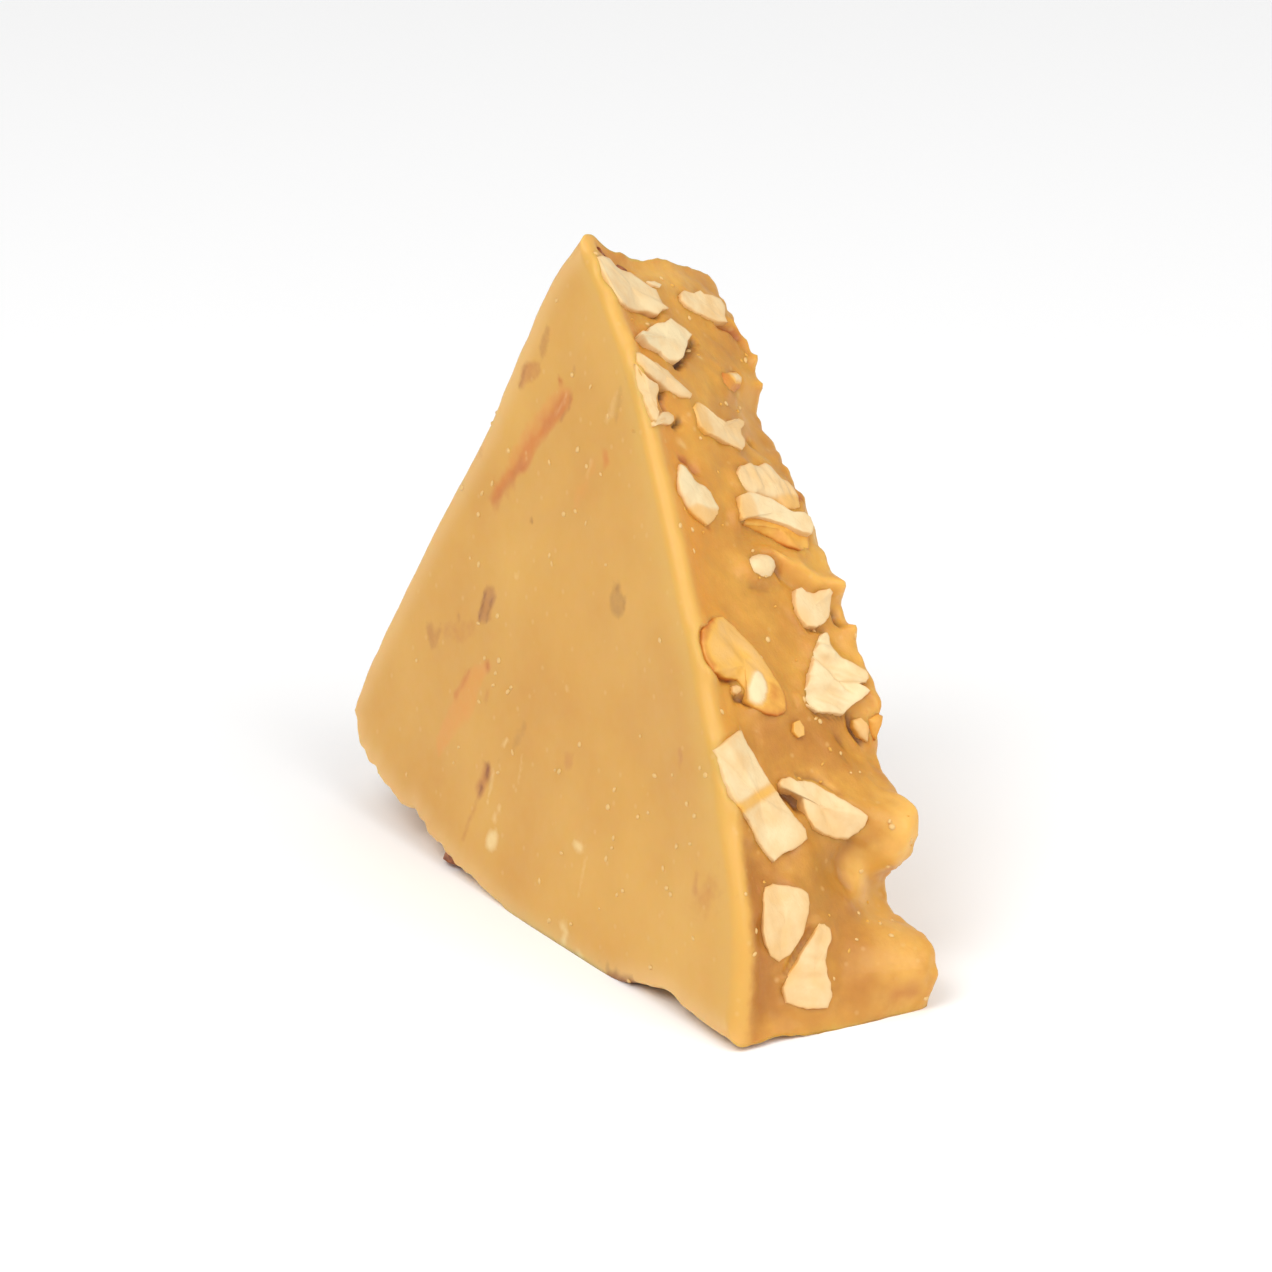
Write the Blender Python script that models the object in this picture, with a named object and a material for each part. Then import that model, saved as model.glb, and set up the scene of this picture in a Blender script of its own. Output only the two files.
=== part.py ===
"""A shard of almond brittle that stands on its broken base.

The shard was snapped from a flat slab. Its front and back are the slab's two smooth faces, and all
round between them runs the break, where chopped almonds stick out of the toffee. It leans back a
little. The front face looks to -Y, +Z is up, and the origin is on the floor under its middle.
"""

import math
import random

import bmesh
import bpy
from mathutils import Vector, noise
from mathutils.geometry import delaunay_2d_cdt

MM = 0.001  # the sizes below are millimetres

SLAB_THICKNESS = 11.5
LEAN = math.radians(9.0)
ORIGIN_ALONG = -5.45  # the middle of the standing shard, in the slab's own axes
ORIGIN_BACK = 8.27
BASE_DROP = 0.35  # how much of the base the floor cuts off flat

RIDGE_RADIUS = 0.9  # the soft rounded edge between the front face and the break
# How much of that rounding the front edge has along each side of the break, named below.
EDGE_SHARE = {"nutty": 1.0, "base": 0.45, "chip": 0.45, "far": 0.60}
EDGE_BLEND = 2  # outline points over which one side's share runs into the next
BACK_RADIUS = 0.45
EDGE_STEPS = 3
WALL_STEPS = 10
NORMAL_REACH = 2  # outline points to either side that set which way a rim faces
FACE_GRID = 2.4
FACE_GRID_CLEAR = 0.5  # how far it stays from the rim, as a share of its spacing
FACE_WARP = 0.25
FACE_WARP_REACH = 4.0
FACE_WARP_LENGTH = 9.0

# Outline corners of the two smooth faces, as (along the slab, up the slab) from the floor line.
# Each side runs on from the one before: the long break with the nuts, the base, the chipped
# corner and the far break.
FRONT_SIDES = {
    "nutty": [(-9.8, 36.4), (-5.1, 32.6), (-1.4, 28.4), (2.6, 23.0), (6.7, 17.2), (9.9, 12.0),
              (12.1, 8.0), (13.1, 4.5), (13.6, 0.6)],
    "base": [(13.6, 0.6), (9.0, 0.9), (6.6, 1.1), (3.4, 0.4), (0.0, -0.2), (-6.9, 0.0), (-12.7, 0.7)],
    "chip": [(-12.7, 0.7), (-17.8, 1.9), (-22.3, 2.8), (-24.2, 4.0), (-25.5, 5.7)],
    "far": [(-25.5, 5.7), (-24.6, 8.4), (-20.8, 15.9), (-16.6, 23.4), (-13.8, 29.6), (-12.2, 33.1),
            (-9.8, 36.4)],
}
BACK_SIDES = {
    "nutty": [(-14.2, 32.6), (-8.2, 27.9), (-3.6, 23.8), (0.9, 19.5), (4.9, 15.2), (8.2, 11.2),
              (10.6, 7.6), (12.6, 4.6), (13.8, 1.8)],
    "base": [(13.8, 1.8), (6.0, 1.9), (-3.0, 1.8), (-12.5, 2.2)],
    "chip": [(-12.5, 2.2), (-17.0, 3.4), (-20.6, 5.4), (-22.6, 8.2)],
    "far": [(-22.6, 8.2), (-21.4, 14.0), (-18.4, 20.2), (-17.2, 26.0), (-15.6, 30.2), (-14.2, 32.6)],
}
SIDE_STEPS = {"nutty": 50, "base": 22, "chip": 12, "far": 28}
# The bites and lobes of the nutty side's back edge. They die out towards the front.
RAGGED_BACK = [(-14.2, 32.6), (-10.9, 30.4), (-8.5, 28.3), (-8.1, 26.6), (-5.1, 25.0), (-2.4, 23.1),
               (0.4, 20.7), (1.9, 18.8), (4.9, 16.3), (6.0, 14.6), (6.6, 12.9), (8.5, 11.9),
               (10.5, 11.0), (10.1, 9.3), (8.7, 7.0), (10.0, 5.8), (12.8, 5.7), (14.1, 4.2),
               (13.8, 1.8)]
RAGGED_FROM = 0.5

# How rough each side of the break is: the height of its slow swells and of its small crags.
SWELL = {"nutty": 0.28, "base": 0.25, "chip": 0.45, "far": 0.55}
CRAG = {"nutty": 0.14, "base": 0.15, "chip": 0.40, "far": 0.45}
SWELL_LENGTH = 4.6
CRAG_LENGTH = 1.7
CRAG_SHIFT = Vector((9.0, 4.0, 2.0))  # keeps the crags from running with the swells
RELIEF_FADE = 1.5  # the relief dies out over this distance towards the front face
HOLLOW_DEPTH = 0.55  # the nutty side sinks behind the ridge
HOLLOW_AT = 2.6
HOLLOW_WIDTH = 1.7
# The dip in the top edge: its depth, how far back it is, and how wide along the outline and back.
APEX_DENT = 0.66
APEX_DENT_BACK = 5.0
APEX_DENT_ALONG = 2.2
APEX_DENT_DEEP = 2.0
# Lumps and dents of the toffee there: where, as for the almonds below, how wide and how high.
NUTTY_LUMPS = [
    (18.2, 10.9, 0.8, 0.50), (21.0, 10.9, 0.9, 0.50), (23.6, 11.2, 0.8, 0.35), (17.6, 8.8, 0.9, 0.30),
    (32.4, 9.9, 1.5, 0.60), (35.2, 6.7, 1.2, -0.50), (41.0, 9.8, 1.6, 0.40),
]

# The cut almonds on the nutty side: how far each stands out, and its corners as
# (down the ridge from the tip, back from the ridge).
NUTTY_ALMONDS = [
    (0.40, [(1.2, 1.2), (1.3, 3.6), (2.7, 5.3), (3.9, 5.0), (4.0, 3.0), (2.9, 0.8)]),
    (0.45, [(2.3, 7.3), (1.8, 9.0), (1.9, 10.7), (3.4, 10.4), (3.4, 8.2)]),
    (0.70, [(5.8, 2.3), (4.5, 4.2), (4.3, 5.8), (5.1, 6.9), (6.9, 4.8), (6.8, 3.7)]),
    (0.50, [(7.3, 0.9), (7.5, 3.2), (9.0, 5.0), (9.3, 4.1), (7.8, 0.9)]),
    (0.35, [(8.1, 0.6), (8.9, 2.1), (10.4, 1.9), (10.1, 0.7), (8.9, 0.6)]),
    (0.45, [(9.6, 4.9), (10.1, 7.0), (9.3, 9.2), (10.5, 8.4), (11.4, 8.0), (11.2, 4.8)]),
    (0.50, [(6.8, 8.3), (6.6, 9.6), (7.3, 9.7), (7.7, 8.3)]),
    (0.45, [(13.2, 2.7), (14.2, 4.0), (15.7, 4.5), (15.8, 3.3), (14.3, 2.2)]),
    (0.80, [(12.8, 7.2), (11.4, 9.8), (12.0, 10.7), (13.8, 10.3), (13.8, 7.2)]),
    (0.90, [(14.6, 6.7), (14.0, 9.2), (14.4, 10.7), (16.1, 10.3), (15.8, 6.8)]),
    (0.70, [(17.9, 6.2), (17.8, 7.2), (19.1, 6.7), (19.2, 5.8)]),
    (0.60, [(19.3, 8.4), (18.8, 10.6), (20.3, 10.2), (21.2, 8.4)]),
    (0.70, [(22.8, 0.8), (21.4, 3.1), (23.9, 5.0), (26.8, 5.5), (26.4, 3.5), (24.6, 1.4)]),
    (0.65, [(21.3, 9.3), (22.6, 10.7), (24.1, 10.6), (25.8, 8.8), (25.8, 7.3), (23.5, 8.1)]),
    (0.90, [(25.4, 10.0), (25.1, 10.8), (26.1, 10.8), (26.0, 10.1)]),
    (0.45, [(28.4, 0.6), (27.5, 1.9), (30.2, 3.3), (31.2, 0.9)]),
    (0.50, [(31.4, 1.8), (30.7, 3.4), (32.0, 4.5), (33.4, 5.3), (34.4, 3.1), (33.3, 2.1)]),
    (0.55, [(30.5, 4.4), (30.5, 6.1), (31.9, 8.6), (33.4, 7.6), (32.7, 5.8), (31.5, 5.3)]),
    (0.50, [(35.6, 2.5), (35.7, 4.4), (36.3, 4.9), (38.3, 4.3), (39.6, 3.0), (37.6, 2.1)]),
    (0.55, [(38.0, 5.4), (39.0, 5.9), (42.0, 5.7), (41.7, 3.2), (39.9, 3.9)]),
]
TOFFEE_COLOUR = (0.72, 0.40, 0.12, 1.0)
TOFFEE_ROUGHNESS = 0.42
SMOOTH_ANGLE = math.radians(35)  # edges sharper than this stay sharp to the eye
ALMOND_ROOT = 1.3  # how deep an almond sits in the toffee
ALMOND_ROOT_WIDTH = 0.82  # its width down there, and on top, as shares of its outline
ALMOND_TOP_WIDTH = 0.88
ALMOND_SHOULDER = 0.5  # where its chamfer starts, as a share of how far it stands out
ALMOND_TILT = 0.08
ALMOND_FLOOR = 0.3  # no almond comes closer to the floor
OTHER_ALMONDS = {"far": 16, "chip": 5}  # how many there are on the sides that are turned away
OTHER_SEED = 7
OTHER_EDGE = 0.7  # how far those stay from the edge of a smooth face
OTHER_END = 3.0  # how far their middles stay from the ends of their side
OTHER_STRIDE = 0.618  # each one lies this share of the thickness further back than the last
OTHER_LONG = (1.0, 2.3)  # half their length, and their width as a share of it
OTHER_WIDE = (0.45, 0.8)
OTHER_PROUD = (0.35, 0.8)
OTHER_SPREAD = 0.3  # how unevenly they are spaced, and how unevenly their corners are
OTHER_SKEW = 0.2


def smooth_path(points, step=12):
    """Points along a Catmull-Rom curve through the given ones."""
    ends = [points[0]] + list(points) + [points[-1]]
    path = []
    for i in range(len(points) - 1):
        before, start, end, after = (Vector(p) for p in ends[i : i + 4])
        for k in range(step):
            t = k / step
            path.append(0.5 * (2 * start + (end - before) * t
                               + (2 * before - 5 * start + 4 * end - after) * t * t
                               + (3 * start - before - 3 * end + after) * t ** 3))
    path.append(Vector(points[-1]))
    return path


def path_length(path):
    """How long a path is."""
    return sum((b - a).length for a, b in zip(path, path[1:]))


def spaced(points, count):
    """The smooth curve cut into count equal lengths, without its last point."""
    path = smooth_path(points)
    total = path_length(path)
    result = []
    k = 0
    walked = 0.0
    for i in range(count):
        want = total * i / count
        while walked + (path[k + 1] - path[k]).length < want:
            walked += (path[k + 1] - path[k]).length
            k += 1
        piece = (path[k + 1] - path[k]).length
        result.append(path[k].lerp(path[k + 1], (want - walked) / max(piece, 1e-9)))
    return result


def outline(sides):
    """The closed outline of one face."""
    return [point for name, corners in sides.items() for point in spaced(corners, SIDE_STEPS[name])]


FRONT = outline(FRONT_SIDES)
BACK = outline(BACK_SIDES)
RAGGED = spaced(RAGGED_BACK, SIDE_STEPS["nutty"])
SIDE_OF = [name for name, steps in SIDE_STEPS.items() for _ in range(steps)]
SIDE_START = {name: SIDE_OF.index(name) for name in SIDE_STEPS}
SIDE_LENGTH = {name: path_length(smooth_path(corners)) for name, corners in FRONT_SIDES.items()}


def edge_share(i):
    """How much of the ridge's rounding the front edge has at one point of the outline."""
    near = [SIDE_OF[(i + k) % len(SIDE_OF)] for k in range(-EDGE_BLEND, EDGE_BLEND + 1)]
    return sum(EDGE_SHARE[name] for name in near) / len(near)


def plain_ring(share):
    """The outline at a share of the thickness, before relief."""
    ring = [a.lerp(b, share) for a, b in zip(FRONT, BACK)]
    t = max(0.0, (share - RAGGED_FROM) / (1 - RAGGED_FROM))
    rag = t * t * (3 - 2 * t)
    for i, ragged in enumerate(RAGGED):
        ring[i] += (ragged - BACK[i]) * rag
    return ring


def outward(ring):
    """The unit normals of a closed outline, pointing away from its inside."""
    normals = []
    for i in range(len(ring)):
        along = ring[(i + NORMAL_REACH) % len(ring)] - ring[i - NORMAL_REACH]
        normals.append(Vector((-along.y, along.x)).normalized())
    return normals


def lump_height(down, back):
    """How far the lumps and dents of the nutty side stand out at a place."""
    total = 0.0
    for middle, behind, width, height in NUTTY_LUMPS:
        total += height * math.exp(-((down - middle) ** 2 + (back - behind) ** 2) / width ** 2)
    return total


def apex_dent(name, share, depth):
    """How deep the dip in the top edge is at a place of the break."""
    away = {"nutty": share, "far": 1 - share}.get(name)
    if away is None:
        return 0.0
    along = away * SIDE_LENGTH[name] / APEX_DENT_ALONG
    back = (depth - APEX_DENT_BACK) / APEX_DENT_DEEP
    return APEX_DENT * math.exp(-(along ** 2) - back ** 2)


def relief(name, share, point, depth):
    """How far the break stands out at a place, a share of the way along one of its sides."""
    place = Vector((point.x, point.y, depth))
    height = SWELL[name] * noise.noise(place / SWELL_LENGTH)
    height += CRAG[name] * noise.noise(place / CRAG_LENGTH + CRAG_SHIFT)
    if name == "nutty":
        height -= HOLLOW_DEPTH * math.exp(-(((depth - HOLLOW_AT) / HOLLOW_WIDTH) ** 2))
    height *= max(0.0, min(1.0, depth / RELIEF_FADE, SLAB_THICKNESS - depth))
    height -= apex_dent(name, share, depth)
    if name == "nutty":
        height += lump_height(share * SIDE_LENGTH[name], depth)
    return height


def break_ring(depth, inset):
    """The outline at a depth behind the front face, with the relief of the break on it."""
    ring = plain_ring(depth / SLAB_THICKNESS)
    result = []
    for i, (point, normal, name) in enumerate(zip(ring, outward(ring), SIDE_OF)):
        share = (i - SIDE_START[name]) / SIDE_STEPS[name]
        cut = inset * edge_share(i) if depth < RIDGE_RADIUS else inset
        result.append(point + normal * (relief(name, share, point, depth) - cut))
    return result


def standing(u, v, depth, lowest=0.0):
    """A place in the slab as a point of the standing shard, in metres, with the floor at zero."""
    x = u - ORIGIN_ALONG
    y = v * math.sin(LEAN) + depth * math.cos(LEAN) - ORIGIN_BACK
    z = v * math.cos(LEAN) - depth * math.sin(LEAN) - BASE_DROP
    return Vector((x, y, max(z, lowest))) * MM


def edge_rows(radius):
    """Depth and inset of the rings that round off one edge, from the face outwards."""
    rows = []
    for k in range(EDGE_STEPS):
        angle = math.pi / 2 * k / EDGE_STEPS
        rows.append((radius * (1 - math.cos(angle)), radius * (1 - math.sin(angle))))
    return rows


def wall_rows():
    """Depth and inset of every ring of the break, from the front face to the back."""
    rows = edge_rows(RIDGE_RADIUS)
    first, last = RIDGE_RADIUS, SLAB_THICKNESS - BACK_RADIUS
    rows += [(first + (last - first) * k / WALL_STEPS, 0.0) for k in range(WALL_STEPS + 1)]
    rows += [(SLAB_THICKNESS - depth, inset) for depth, inset in reversed(edge_rows(BACK_RADIUS))]
    return rows


def face_grid(rim):
    """Staggered points over the outline of a face, kept clear of its rim."""
    low = [min(p[k] for p in rim) for k in (0, 1)]
    high = [max(p[k] for p in rim) for k in (0, 1)]
    points = []
    for row in range(int((high[1] - low[1]) / FACE_GRID)):
        for column in range(int((high[0] - low[0]) / FACE_GRID)):
            u = low[0] + (column + 0.5 + 0.5 * (row % 2)) * FACE_GRID
            v = low[1] + (row + 0.5) * FACE_GRID
            place = Vector((u, v))
            if min((place - p).length for p in rim) > FACE_GRID * FACE_GRID_CLEAR:
                points.append(place)
    return points


def add_face(mesh, rim, loop, depth):
    """One of the slab's smooth faces: a fine net of triangles that swells and sinks a little."""
    places = rim + face_grid(rim)
    _, _, triangles, origins, _, _ = delaunay_2d_cdt(places, [], [list(range(len(rim)))], 1, 1e-5)
    verts = {}
    for corner in sorted({corner for triangle in triangles for corner in triangle}):
        k = origins[corner][0]
        if k < len(rim):
            verts[corner] = loop[k]
            continue
        place = places[k]
        clear = min(1.0, min((place - p).length for p in rim) / FACE_WARP_REACH)
        warp = clear * FACE_WARP * noise.noise(Vector((place.x, place.y, depth)) / FACE_WARP_LENGTH)
        verts[corner] = mesh.verts.new(standing(place.x, place.y, depth + warp))
    for triangle in triangles:
        mesh.faces.new([verts[corner] for corner in triangle])


def slab_mesh():
    """The toffee without its almonds, as one closed mesh."""
    rows = wall_rows()
    rings = [break_ring(depth, inset) for depth, inset in rows]
    mesh = bmesh.new()
    loops = []
    for ring, (depth, _) in zip(rings, rows):
        loops.append([mesh.verts.new(standing(p.x, p.y, depth)) for p in ring])
    count = len(FRONT)
    for near, far in zip(loops, loops[1:]):
        for i in range(count):
            j = (i + 1) % count
            mesh.faces.new((near[i], near[j], far[j], far[i]))
    for end in (0, -1):
        add_face(mesh, rings[end], loops[end], rows[end][0])
    bmesh.ops.recalc_face_normals(mesh, faces=mesh.faces)
    return mesh


def on_break(name, down, back):
    """A place on one side of the break, given along its front edge and back from it."""
    share = down / SIDE_LENGTH[name]
    step = share * SIDE_STEPS[name]
    ring = plain_ring(back / SLAB_THICKNESS)
    start = SIDE_START[name]
    k = min(max(int(step), 0), SIDE_STEPS[name] - 1)
    a = ring[start + k]
    b = ring[(start + k + 1) % len(ring)]
    p = a.lerp(b, step - k)
    normal = Vector((a.y - b.y, b.x - a.x)).normalized()
    p = p + normal * relief(name, share, p, back)
    return Vector((p.x, p.y, back))


def add_almond(name, proud, corners):
    """One chopped almond as an object: a prism with a chamfered top, set in the break."""
    draw = random.Random(str(corners))
    feet = [on_break(name, down, back) for down, back in corners]
    middle = sum(feet, Vector()) / len(feet)
    down, back = (sum(c[k] for c in corners) / len(corners) for k in (0, 1))
    along = on_break(name, down + 0.5, back) - on_break(name, down - 0.5, back)
    across = on_break(name, down, back + 0.5) - on_break(name, down, back - 0.5)
    out = across.cross(along).normalized()
    tilt = Vector([draw.uniform(-ALMOND_TILT, ALMOND_TILT) for _ in range(3)])
    mesh = bmesh.new()
    rings = []
    root = (ALMOND_ROOT_WIDTH, -ALMOND_ROOT)
    shoulder = (1.0, proud * ALMOND_SHOULDER)
    top = (ALMOND_TOP_WIDTH, proud)
    for scale, height in (root, shoulder, top):
        ring = []
        for foot in feet:
            arm = (foot - middle) * scale
            point = middle + arm + out * (height + max(height, 0.0) * tilt.dot(arm))
            ring.append(mesh.verts.new(standing(*point, lowest=ALMOND_FLOOR)))
        rings.append(ring)
    for low, high in zip(rings, rings[1:]):
        for i in range(len(corners)):
            j = (i + 1) % len(corners)
            mesh.faces.new((low[i], low[j], high[j], high[i]))
    mesh.faces.new(rings[0][::-1])
    mesh.faces.new(rings[-1])
    bmesh.ops.recalc_face_normals(mesh, faces=mesh.faces)
    data = bpy.data.meshes.new("almond")
    mesh.to_mesh(data)
    mesh.free()
    return bpy.data.objects.new("almond", data)


def other_almonds():
    """Almonds for the sides that are turned away, drawn by a seeded rule."""
    draw = random.Random(OTHER_SEED)
    rows = []
    for name, count in OTHER_ALMONDS.items():
        for k in range(count):
            long = draw.uniform(*OTHER_LONG)
            wide = long * draw.uniform(*OTHER_WIDE)
            turn = draw.uniform(0, math.pi)
            clear = OTHER_EDGE + long
            spread = draw.uniform(-OTHER_SPREAD, OTHER_SPREAD)
            down = SIDE_LENGTH[name] * (k + 0.5 + spread) / count
            down = min(max(down, OTHER_END), SIDE_LENGTH[name] - OTHER_END)
            back = clear + (SLAB_THICKNESS - 2 * clear) * ((k * OTHER_STRIDE) % 1.0)
            sides = draw.choice((4, 5, 6))
            corners = []
            for corner in range(sides):
                angle = 2 * math.pi * (corner + draw.uniform(-OTHER_SKEW, OTHER_SKEW)) / sides
                a, b = long * math.cos(angle), wide * math.sin(angle)
                corners.append((down + a * math.cos(turn) - b * math.sin(turn),
                                back + a * math.sin(turn) + b * math.cos(turn)))
            rows.append((name, draw.uniform(*OTHER_PROUD), corners))
    return rows


def toffee_material():
    """Satin butter toffee: a warm tan, opaque and slightly glossy."""
    material = bpy.data.materials.new("butter_toffee")
    material.use_nodes = True
    shader = material.node_tree.nodes["Principled BSDF"]
    shader.inputs["Base Color"].default_value = TOFFEE_COLOUR
    shader.inputs["Roughness"].default_value = TOFFEE_ROUGHNESS
    shader.inputs["Metallic"].default_value = 0.0
    return material


def clear_scene():
    """Empties the scene."""
    for obj in list(bpy.data.objects):
        bpy.data.objects.remove(obj, do_unlink=True)


def build():
    """The shard: the slab joined with its almonds, as one solid."""
    clear_scene()
    mesh = slab_mesh()
    data = bpy.data.meshes.new("almond_brittle")
    mesh.to_mesh(data)
    mesh.free()
    data.materials.append(toffee_material())
    shard = bpy.data.objects.new("almond_brittle", data)
    bpy.context.scene.collection.objects.link(shard)

    almonds = bpy.data.collections.new("almonds")
    bpy.context.scene.collection.children.link(almonds)
    for name, proud, corners in [("nutty", *row) for row in NUTTY_ALMONDS] + other_almonds():
        almonds.objects.link(add_almond(name, proud, corners))

    join = shard.modifiers.new("almonds", "BOOLEAN")
    join.operation = "UNION"
    join.operand_type = "COLLECTION"
    join.collection = almonds
    join.solver = "EXACT"
    with bpy.context.temp_override(object=shard, active_object=shard):
        bpy.ops.object.modifier_apply(modifier=join.name)
    for almond in list(almonds.objects):
        bpy.data.objects.remove(almond, do_unlink=True)
    bpy.data.collections.remove(almonds)
    shard.data.shade_smooth()
    shard.data.set_sharp_from_angle(angle=SMOOTH_ANGLE)


build()
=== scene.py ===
"""The looks of a shard of almond brittle that stands on its broken base.

The toffee repeats the outlines of the solid shard and adds the fine relief of its broken sides. The
cut almonds, brown skins, crumbs and specks are pieces of their own. Places on the shard are
millimetres in the slab's own axes (along, up, back), or on a broken side (down its front edge, back
from it), and they become metres where a mesh is made.
"""

import math
import random

import bmesh
import bpy
import numpy as np
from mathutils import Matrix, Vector, noise
from mathutils.geometry import delaunay_2d_cdt


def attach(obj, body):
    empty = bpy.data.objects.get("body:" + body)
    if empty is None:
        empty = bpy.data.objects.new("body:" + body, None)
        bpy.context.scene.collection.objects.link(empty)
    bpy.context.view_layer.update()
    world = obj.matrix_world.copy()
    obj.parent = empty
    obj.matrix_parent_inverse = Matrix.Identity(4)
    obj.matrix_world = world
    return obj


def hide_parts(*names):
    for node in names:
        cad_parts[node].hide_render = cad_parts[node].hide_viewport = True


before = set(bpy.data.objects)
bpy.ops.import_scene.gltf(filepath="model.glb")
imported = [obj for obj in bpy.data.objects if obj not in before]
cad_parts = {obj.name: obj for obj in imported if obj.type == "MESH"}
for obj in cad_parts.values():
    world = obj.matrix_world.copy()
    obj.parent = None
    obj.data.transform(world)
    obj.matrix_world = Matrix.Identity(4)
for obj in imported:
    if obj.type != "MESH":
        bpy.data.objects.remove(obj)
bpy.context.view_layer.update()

MM = 0.001


def table(text):
    """Rows of a word, numbers and a list of points, which are written as pairs with a comma."""
    rows = []
    for token in text.split():
        if token[0].isalpha():
            rows.append([token, []])
        elif "," in token:
            rows[-1][-1].append(tuple(map(float, token.split(","))))
        else:
            rows[-1].insert(-1, float(token))
    return [tuple(row) for row in rows]


# The slab and how it stands
SLAB_THICKNESS = 11.5
LEAN = math.radians(9.0)
ORIGIN_ALONG = -5.45
ORIGIN_BACK = 8.27
BASE_DROP = 0.35

# The rounded edges, and how finely the toffee is meshed
RIDGE_RADIUS = 0.9
# How much of that rounding each side has: only the ridge is soft.
EDGE_SHARE = {"nutty": 1.0, "base": 0.45, "chip": 0.45, "far": 0.60}
BACK_RADIUS = 0.45
RIDGE_STEPS = 9
BACK_STEPS = 4
WALL_STEPS = 50
SIDE_STEPS = {"nutty": 230, "base": 110, "chip": 84, "far": 136}
NORMAL_REACH = 8
FOOT_NORMAL_REACH = 4
FACE_GRID = {"front": 0.19, "back": 0.4}
FACE_GRID_CLEAR = 0.6
BATCHES = 40
FAR_OFF = 9.0

# The smooth faces
FACE_WARP = 0.25
FACE_WARP_REACH = 4.0
FACE_WARP_LENGTH = 9.0
FACE_RIPPLE = 0.02
FACE_RIPPLE_LENGTH = 2.4
# Painted glow, standing in for light through the ridge, more widely low down, and through the thin
# rim of the other sides.
GLOW_WIDTH = 0.7
GLOW_WIDENS = 0.9
GLOW_WIDENS_BELOW = 36.0
GLOW_LOW = 0.75
GLOW_LOW_BELOW = 18.0
GLOW_FROM = 0.35
GLOW_BACK = 0.80
THIN_WIDTH = 0.75
THIN_BACK = 0.6
# The break's own looks start and end a little inside its edges: from where, and over what depth.
BREAK_FROM = (0.5, 0.8)
BREAK_TO = (11.4, 0.4)

# The outlines of both faces, side by side
FRONT_SIDES = dict(table("""
nutty -9.8,36.4 -5.1,32.6 -1.4,28.4 2.6,23 6.7,17.2 9.9,12 12.1,8 13.1,4.5 13.6,.6
base 13.6,.6 9,.9 6.6,1.1 3.4,.4 0,-.2 -6.9,0 -12.7,.7
chip -12.7,.7 -17.8,1.9 -22.3,2.8 -24.2,4 -25.5,5.7
far -25.5,5.7 -24.6,8.4 -20.8,15.9 -16.6,23.4 -13.8,29.6 -12.2,33.1 -9.8,36.4
"""))
BACK_SIDES = dict(table("""
nutty -14.2,32.6 -8.2,27.9 -3.6,23.8 .9,19.5 4.9,15.2 8.2,11.2 10.6,7.6 12.6,4.6 13.8,1.8
base 13.8,1.8 6,1.9 -3,1.8 -12.5,2.2
chip -12.5,2.2 -17,3.4 -20.6,5.4 -22.6,8.2
far -22.6,8.2 -21.4,14 -18.4,20.2 -17.2,26 -15.6,30.2 -14.2,32.6
"""))
RAGGED_BACK = table("""
ragged -14.2,32.6 -10.9,30.4 -8.5,28.3 -8.1,26.6 -5.1,25 -2.4,23.1 .4,20.7 1.9,18.8 4.9,16.3 6,14.6
  6.6,12.9 8.5,11.9 10.5,11 10.1,9.3 8.7,7 10,5.8 12.8,5.7 14.1,4.2 13.8,1.8
""")[0][1]
RAGGED_FROM = 0.5

# The break. For each side: slow swells, crags, the hollow behind the ridge, small crags, how much
# of them reaches the front edge, and the ragged back edge.
SIDE_RELIEF = {
    "nutty": (0.28, 0.12, 0.50, 0.05, 0.0, 0.34),
    "base": (0.25, 0.15, 0.0, 0.14, 0.50, 0.10),
    "chip": (0.45, 0.40, 0.0, 0.24, 0.70, 0.10),
    "far": (0.55, 0.45, 0.0, 0.16, 0.16, 0.20),
}
SWELL_LENGTH = 4.6
CRAG_LENGTH = 1.7
CRAG_SHIFT = (9.0, 4.0, 2.0)
SMALL_CRAG_LENGTH = 0.62
GRIT_LENGTH = 0.3
GRIT = 0.014
RELIEF_FADE = 1.5
EDGE_NOTCH_LENGTH = 0.75
EDGE_NOTCH_REACH = 0.9
HOLLOW_AT = 2.6
HOLLOW_WIDTH = 1.7
SIDE_BLEND = 7
# Where each noise is taken from, so that no two of them rise and fall together
NOISE_SKEW = (1.0, 0.7, 1.3)
SHIFTS = {"small crag": 3.0, "grit": 5.0, "notch": 7.0, "rim": 13.0, "tear": 2.0, "ripple": 17.0,
          "uneven": 29.0}
DRIFT_SHIFTS = (19.0, 23.0)
# The dip in the top edge: height, how far back it is, and its widths along the outline and back.
APEX_DENT = 0.66
APEX_DENT_BACK = 5.0
APEX_DENT_ALONG = 2.2
APEX_DENT_DEEP = 2.0
# Streaks where the toffee tore: they run aslant across the nutty side, and fade at its edges.
TEAR_TURN = math.radians(52)
TEAR_LENGTH = 3.6
TEAR_WIDTH = 0.55
TEAR_HEIGHT = 0.05
TEAR_FROM = (1.2, 2.0)

# Lumps and dents of the nutty side: down, back, width, height.
NUTTY_LUMPS = [
    (18.2, 10.9, 0.8, 0.50), (21.0, 10.9, 0.9, 0.50), (23.6, 11.2, 0.8, 0.35),
    (17.6, 8.8, 0.9, 0.30), (32.4, 9.9, 1.5, 0.60), (35.2, 6.7, 1.2, -0.50),
    (41.0, 9.8, 1.6, 0.40),
]
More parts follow.
